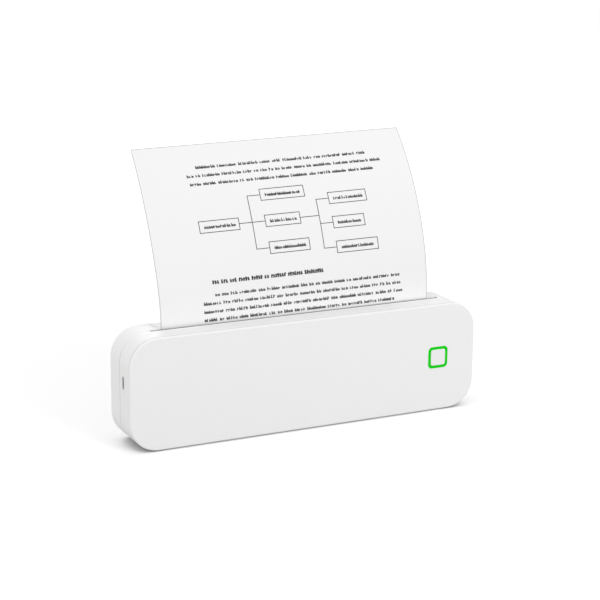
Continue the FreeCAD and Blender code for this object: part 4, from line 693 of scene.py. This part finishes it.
add(laying, "NodeGroupOutput", {"Position": vector_sum(laying, "ADD", point, lifted)})


def lay(tree, geometry, flat, size):
    """Moves a geometry's points onto the sheet; flat is where they lie on the unbent sheet."""
    spot = add(tree, "GeometryNodeGroup", {"Flat": flat, "left_edge": size["left_edge"],
                                           "right_edge": size["right_edge"]}, node_tree=laying)
    moved = add(tree, "GeometryNodeSetPosition", {"Geometry": geometry, "Position": spot.outputs[0]})
    return moved.outputs[0]


print("laying group:", len(laying.nodes), "nodes")

# %% Paper
SHEET_LENGTH = 172 * MM
# Width of the painted edge shade: full up to EDGE_DARK from the edge, none beyond EDGE_CLEAR.
EDGE_DARK, EDGE_CLEAR = 0.3 * MM, 0.8 * MM
paper, tree, bsdf = new_finish("paper", Roughness=0.7, IOR=1.45, Specular_IOR_Level=0.15)
place = place_of(tree)
fibres = noise(tree, place, 2600.0, 4.0)
tone = blend(tree, noise(tree, place, 30.0), grey(0.864), grey(0.878))
tone = blend(tree, spread(tree, fibres, 0.0, 0.25), tone, grey(0.83))
axes = axes_of(tree, add(tree, "ShaderNodeUVMap", uv_map="UVMap").outputs[0])
margins = [reckon(tree, "MULTIPLY", reckon(tree, "PINGPONG", axes[axis], 0.5), metres)
           for axis, metres in (("X", 2 * HALF_SHEET), ("Y", SHEET_LENGTH))]
# Painted shade: a grey band along the sheet's edges stands for the shadow on its thin cut edge.
painted_edge_shade = ramp(tree, reckon(tree, "MINIMUM", *margins), EDGE_DARK, EDGE_CLEAR, 1.0, 0.0)
paint(tree, bsdf, blend(tree, painted_edge_shade, tone, grey(0.50)))
emboss(tree, bsdf, fibres, 0.01 * MM, 0.3)
print("paper: its cut edge is read from the sheet's own map")

# %% The sheet
PAPER_THICK = 0.12 * MM
tree, size = new_recipe("bent_sheet", columns=25, rows=121, left_edge="object", right_edge="object",
                        finish="material")
grid = add(tree, "GeometryNodeMeshGrid", {"Size X": 2 * HALF_SHEET, "Size Y": 1.0,
                                          "Vertices X": size["columns"], "Vertices Y": size["rows"]})
mapped = add(tree, "GeometryNodeStoreNamedAttribute",
             {"Geometry": grid.outputs["Mesh"], "Name": "UVMap", "Value": grid.outputs["UV Map"]},
             data_type="FLOAT2", domain="CORNER")
flat = vector_sum(tree, "ADD", add(tree, "GeometryNodeInputPosition").outputs[0], (0, 0.5, 0))
close_recipe(tree, lay(tree, mapped.outputs[0], flat, size), size["finish"])
sheet = grow(tree, "sheet_of_paper", left_edge=left_edge, right_edge=right_edge, finish=paper)
thickness = sheet.modifiers.new("thickness", "SOLIDIFY")
thickness.thickness = PAPER_THICK
thickness.offset = 0
sheet.data = as_mesh(sheet)
sheet.modifiers.remove(thickness)
sheet.data.shade_smooth()
sheet.data.set_sharp_from_angle(angle=math.radians(40))
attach(sheet, "root")
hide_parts("paper_sheet")

# %% [markdown]
# ## The print on the sheet
# A page has been printed: a few lines of text, a chart of boxes, a heading and more text.  The marks
# stand for print and can't be read: each letter is two or three short strokes of chance height and
# width.  The page is planned flat, as edges in millimetres across the sheet and up from the slot.
# Geometry Nodes puts small strokes along the edges and lays them on the bent sheet, a hair in front.

# %% A page plan
LETTER, SPACE = 1.62, 1.9 * 1.62
BOX_TALL, BOX_MARGIN, BOX_TEXT_RISE = 8.4, 4, 3.0
chance = random.Random(11)


def words(x, end, height):
    """A line of text as runs: words of two to nine letters with a space between them.

    The extra fifth of a letter keeps a word's last letter when its run is divided.
    """
    runs = []
    while x < end - 3 * LETTER:
        reach = min(x + LETTER * (chance.randint(1, 8) + 0.2), end)
        runs.append(((x, height), (reach, height)))
        x = reach + SPACE
    return runs


def box_runs(x, height, width):
    """The four sides of a box in the chart."""
    corners = [(x, height), (x + width, height), (x + width, height + BOX_TALL), (x, height + BOX_TALL)]
    return [(corners[index], corners[(index + 1) % 4]) for index in range(4)]


def plan(runs):
    """The runs as the edges of a flat mesh."""
    mesh = bpy.data.meshes.new("plan")
    points = [(x * MM, height * MM, 0.0) for run in runs for x, height in run]
    mesh.from_pydata(points, [(2 * index, 2 * index + 1) for index in range(len(runs))], [])
    return mesh


BOXES = ((-68, 64.0, 30), (-18, 83.5, 34), (-18, 64.0, 27), (-18, 44.5, 31),
         (34, 76.0, 30), (34, 58.0, 25), (34, 40.0, 33))
LINKS = (((-38, 68.2), (-18, 68.2)), ((-28, 48.7), (-28, 87.7)), ((-28, 87.7), (-18, 87.7)),
         ((-28, 48.7), (-18, 48.7)), ((9, 68.2), (24, 68.2)), ((24, 44.2), (24, 80.2)),
         ((24, 80.2), (34, 80.2)), ((24, 62.2), (34, 62.2)), ((24, 44.2), (34, 44.2)))
LINES = ((-61, 78, 112.0), (-69, 82, 105.6), (-68, 75, 99.2),
         (-63, 81, 19.0), (-72, 82, 13.2), (-72, 83, 7.4), (-72, 82, 1.6))
rules = [run for box in BOXES for run in box_runs(*box)] + list(LINKS)
text = [run for line in LINES for run in words(*line)]
text += [((x + BOX_MARGIN, height + BOX_TEXT_RISE), (x + width - BOX_MARGIN, height + BOX_TEXT_RISE))
         for x, height, width in BOXES]
heading = words(-64, 26, 27.6)
print(len(BOXES), "boxes,", len(text), "words")

# %% Strokes along a plan
BELOW_SLOT = 40.07 * MM
PRINT_LIFT = 0.09 * MM
strokes, size = new_recipe("strokes", pitch=LETTER * MM, narrow=0.64 * MM, wide=0.78 * MM, low=1.5 * MM,
                           high=2.5 * MM, start=0.0, rise=0.0, gaps=0.0, seed=1,
                           left_edge="object", right_edge="object", finish="material")
runs = add(strokes, "GeometryNodeMeshToCurve", {"Mesh": size["Geometry"]}).outputs[0]
spots = add(strokes, "GeometryNodeCurveToPoints", {"Curve": runs, "Length": size["pitch"]},
            mode="LENGTH").outputs["Points"]
dropped = add(strokes, "FunctionNodeRandomValue", {"Probability": size["gaps"], "Seed": size["seed"]},
              data_type="BOOLEAN").outputs[3]
spots = add(strokes, "GeometryNodeDeleteGeometry", {"Geometry": spots, "Selection": dropped},
            domain="POINT").outputs[0]


def chance_size(low, high):
    """A chance number between two sizes, another for each stroke."""
    return add(strokes, "FunctionNodeRandomValue", {2: low, 3: high, "Seed": size["seed"]},
               data_type="FLOAT").outputs[1]


across = chance_size(size["narrow"], size["wide"])
tall = chance_size(size["low"], size["high"])
hop = chance_size(0.0, size["rise"])
shift = join_axes(strokes, size["start"], reckon(strokes, "MULTIPLY_ADD", tall, 0.5, hop))
spots = add(strokes, "GeometryNodeSetPosition", {"Geometry": spots, "Offset": shift}).outputs[0]
stroke = add(strokes, "GeometryNodeMeshGrid",
             {"Size X": 1.0, "Size Y": 1.0, "Vertices X": 2, "Vertices Y": 2}).outputs["Mesh"]
marks = add(strokes, "GeometryNodeInstanceOnPoints",
            {"Points": spots, "Instance": stroke, "Scale": join_axes(strokes, across, tall, 1.0)})
marks = add(strokes, "GeometryNodeRealizeInstances", {"Geometry": marks.outputs[0]}).outputs[0]
axes = axes_of(strokes, add(strokes, "GeometryNodeInputPosition").outputs[0])
along = ramp(strokes, axes["Y"], -BELOW_SLOT, SHEET_LENGTH - BELOW_SLOT, 0.0, 1.0, clamp=False)
flat = join_axes(strokes, axes["X"], along, PRINT_LIFT)
close_recipe(strokes, lay(strokes, marks, flat, size), size["finish"])
print("strokes tree:", len(strokes.nodes), "nodes")

# %% Print colour
thermal_black, tree, bsdf = new_finish("thermal_black", Roughness=0.6)
dots = spread(tree, noise(tree, place_of(tree), 4200.0), 0.0, 1.0)
paint(tree, bsdf, blend(tree, dots, rgb(0.010, 0.010, 0.011), rgb(0.030, 0.030, 0.032)))
print("print colour:", thermal_black.name)

# %% Lay the print
RULE = 0.52


def layer(name, runs, seed, gaps=0.0, **sizes):
    """One layer of the print along its runs; sizes in mm."""
    sizes = {label: value * MM for label, value in sizes.items()}
    return grow(strokes, name, plan(runs), seed=seed, gaps=gaps, left_edge=left_edge,
                right_edge=right_edge, finish=thermal_black, **sizes)


layers = [layer("stems", text, 3),
          layer("second_stems", text, 4, gaps=0.35, start=0.84, high=1.6),
          layer("bars", text, 5, gaps=0.1, narrow=1.0, wide=1.3, low=0.55, high=0.65, start=0.42, rise=1.2),
          layer("bold_stems", heading, 6, narrow=1.1, wide=1.3, low=2.2, high=3.0),
          layer("bold_bars", heading, 7, narrow=1.0, wide=1.3, low=0.8, high=1.1, start=0.42, rise=1.7),
          layer("chart_lines", rules, 1, pitch=0.42, narrow=RULE, wide=RULE, low=RULE, high=RULE)]
joined = bmesh.new()
for part in layers:
    joined.from_mesh(part.data)
    bpy.data.objects.remove(part)
page_print = bpy.data.objects.new("page_print", bpy.data.meshes.new("page_print"))
joined.to_mesh(page_print.data)
joined.free()
page_print.data.materials.append(thermal_black)
link(page_print)
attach(page_print, "root")
for guide in (left_edge, right_edge):
    bpy.data.objects.remove(guide)
print("print:", len(page_print.data.polygons), "strokes")

# %% [markdown]
# ## Screws
# Cross-head screws hold the shells, the board, the side plates and the motor.  Every screw is the
# same head and thread at another size, so one Geometry Nodes tree sets them out: it takes the two
# shapes at unit size, scales them and puts one on each seat.  Both are turned on a lathe, which
# is a profile copied round an axis.  The recess is pressed into the head's top.

# %% A lathe
def lathe(name, profile, around, shape=None):
    """Turns (radius, height) points round Z; shape may move a point."""
    made = bmesh.new()
    rings = []
    for radius, height in profile:
        ring = []
        for index in range(1 if radius == 0 else around):
            angle = 2 * math.pi * index / around
            place = (radius * math.cos(angle), radius * math.sin(angle), height)
            ring.append(made.verts.new(shape(*place) if shape else place))
        rings.append(ring)
    for low, high in zip(rings, rings[1:]):
        for index in range(around):
            after = (index + 1) % around
            corners = [low[index % len(low)], low[after % len(low)],
                       high[after % len(high)], high[index % len(high)]]
            made.faces.new(list(dict.fromkeys(corners)))
    bmesh.ops.recalc_face_normals(made, faces=made.faces)
    mesh = bpy.data.meshes.new(name)
    made.to_mesh(mesh)
    made.free()
    mesh.shade_smooth()
    mesh.set_sharp_from_angle(angle=math.radians(38))
    print(name, len(mesh.polygons), "faces")
    return bpy.data.objects.new(name, mesh)


# %% Head and threads at unit size
ARM_HALF, ARM_LENGTH, RECESS_DEPTH = 0.17, 0.62, 0.52
WALL_SLOPE, END_SLOPE = 0.06, 0.10


def recess(x, y, z):
    """Presses a cross, a little deeper in the middle, into the top of a head."""
    across, along = sorted((abs(x), abs(y)))
    if z > 0.5:
        wall = min(1.0, max(0.0, (ARM_HALF - across) / WALL_SLOPE))
        end = min(1.0, max(0.0, (ARM_LENGTH - along) / END_SLOPE))
        z -= wall * end * (RECESS_DEPTH + 0.12 * max(0.0, 1 - along / 0.3))
    return x, y, z


def thread(name, turns):
    """A threaded shank of unit length with a pointed end; its grooves are rings."""
    profile = [(0, 0.0), (0.99, 0.0)]
    for index in range(turns):
        top = 0.02 + 0.90 * index / turns
        profile += [(0.99, -top), (0.76, -top - 0.45 / turns), (0.99, -top - 0.88 / turns)]
    return lathe(name, profile + [(0.70, -0.96), (0.30, -1.0), (0, -1.0)], 16)


dome = [(math.sin(math.radians(turn)), 0.50 + 0.50 * math.cos(math.radians(turn)))
        for turn in range(88, 0, -4)]
head = lathe("head", [(0, 0), (0.55, 0), (0.97, 0), (1.0, 0.04), (1.0, 0.46)] + dome + [(0, 1)], 72, recess)
long_thread = thread("long_thread", 26)
short_thread = thread("short_thread", 7)
link(head, long_thread, short_thread)

# %% A tree that sets out screws
screw_tree, size = new_recipe("screw_set", head="object", thread="object", head_radius=2.0 * MM,
                              head_height=1.2 * MM, shank_radius=1.0 * MM, shank_length=4.0 * MM,
                              turn=(0.0, 0.0, 0.0), finish="material")
turned = add(screw_tree, "FunctionNodeEulerToRotation", {"Euler": size["turn"]}).outputs[0]
shapes = add(screw_tree, "GeometryNodeJoinGeometry")
for part, radius, length in (("thread", "shank_radius", "shank_length"),
                             ("head", "head_radius", "head_height")):
    shape = add(screw_tree, "GeometryNodeObjectInfo", {"Object": size[part]}).outputs["Geometry"]
    scale = join_axes(screw_tree, size[radius], size[radius], size[length])
    placed = add(screw_tree, "GeometryNodeInstanceOnPoints", {
        "Points": size["Geometry"], "Instance": shape, "Rotation": turned, "Scale": scale})
    screw_tree.links.new(placed.outputs[0], shapes.inputs[0])
close_recipe(screw_tree, shapes.outputs[0], size["finish"])
print("screw tree:", len(screw_tree.nodes), "nodes")

# %% Set out the screws
def screws(name, node, seats, turn, shank, sizes):
    """Screws on their seats, in mm; sizes are head radius, head height, shank radius, shank length."""
    base = bpy.data.meshes.new(name)
    base.from_pydata([tuple(value * MM for value in seat) for seat in seats], [], [])
    labels = ("head_radius", "head_height", "shank_radius", "shank_length")
    made = grow(screw_tree, name, base, head=head, thread=shank, finish=bright_steel,
                turn=tuple(math.radians(value) for value in turn),
                **{label: value * MM for label, value in zip(labels, sizes)})
    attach(made, "root")
    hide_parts(node)


to_back, to_right = (-90, 0, 0), (0, 90, 0)
screws("shell_screws", "casing_screws", [(x, 16.8, z) for x in (-124, 124) for z in (12.5, 69.1)],
       to_back, long_thread, (2.6, 1.6, 1.1, 28.4))
screws("plate_screws", "chassis_screws", [(x, -11.8, z) for x in (-114.9, 114.9) for z in (60.5, 71.5)],
       to_back, short_thread, (2.0, 1.2, 1.0, 3.4))
screws("main_board_screws", "board_screws", [(-125.5, -7.8, z) for z in (25, 58)],
       to_back, short_thread, (2.0, 1.2, 1.0, 5.0))
screws("stepper_screws", "motor_screws", [(111.4, y, 11.51) for y in (-4.0, 8.0)],
       to_right, short_thread, (1.5, 0.7, 0.8, 4.0))
for shape in (head, long_thread, short_thread):
    bpy.data.objects.remove(shape)

# %% [markdown]
# ## Leaf springs and the button's pad
# Three arched strips of spring steel press the print head on the platen.  When the head tips back
# they flatten against the crossbar.  A strip is one arc with a flat profile, and a Geometry Nodes
# tree sets three of them side by side.  The power button rests on a silicone pad with a soft waist.

# %% Leaf springs
ARC_POINTS = 41
SPRING_SEATS = [(middle * MM, -11.55 * MM, 66.0 * MM) for middle in (-70, 0, 70)]
spring_tree, size = new_recipe("leaf_springs", half_span=14.0 * MM, rise=5.4 * MM, strip=0.4 * MM,
                               breadth=6.0 * MM, finish="material")
start = join_axes(spring_tree, reckon(spring_tree, "MULTIPLY", size["half_span"], -1.0))
arc = add(spring_tree, "GeometryNodeCurveArc",
          {"Resolution": ARC_POINTS, "Start": start, "Middle": join_axes(spring_tree, 0.0, size["rise"]),
           "End": join_axes(spring_tree, size["half_span"])}, mode="POINTS").outputs["Curve"]
profile = add(spring_tree, "GeometryNodeCurvePrimitiveQuadrilateral",
              {"Width": size["strip"], "Height": size["breadth"]}, mode="RECTANGLE").outputs[0]
strip = add(spring_tree, "GeometryNodeCurveToMesh",
            {"Curve": arc, "Profile Curve": profile, "Fill Caps": True})
strips = add(spring_tree, "GeometryNodeInstanceOnPoints",
             {"Points": size["Geometry"], "Instance": strip.outputs[0]}).outputs[0]
close_recipe(spring_tree, strips, size["finish"])

seats = bpy.data.meshes.new("spring_seats")
seats.from_pydata(SPRING_SEATS, [], [])
springs = grow(spring_tree, "pressing_springs", seats, finish=blued_spring)
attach(springs, "root")
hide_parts("head_springs")
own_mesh(springs)

# %% Silicone pad
PAD_PROFILE = [(0, 0), (1.72, 0), (1.8, 0.08), (1.78, 0.25), (1.62, 0.5), (1.62, 0.65), (1.76, 0.9),
               (1.8, 1.0), (1.72, 1.1), (0, 1.1)]
pad = lathe("soft_pad", PAD_PROFILE, 40)
low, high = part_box("button_pad")
seat = Matrix.Translation(((low[0] + high[0]) / 2, low[1], (low[2] + high[2]) / 2))
pad.data.transform(seat @ Matrix.Rotation(math.radians(-90), 4, "X") @ Matrix.Scale(MM, 4))
pad.data.materials.append(silicone)
link(pad)
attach(pad, "root")
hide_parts("button_pad")
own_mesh(pad)
print("pad", [round(length / MM, 2) for length in pad.dimensions], "mm")
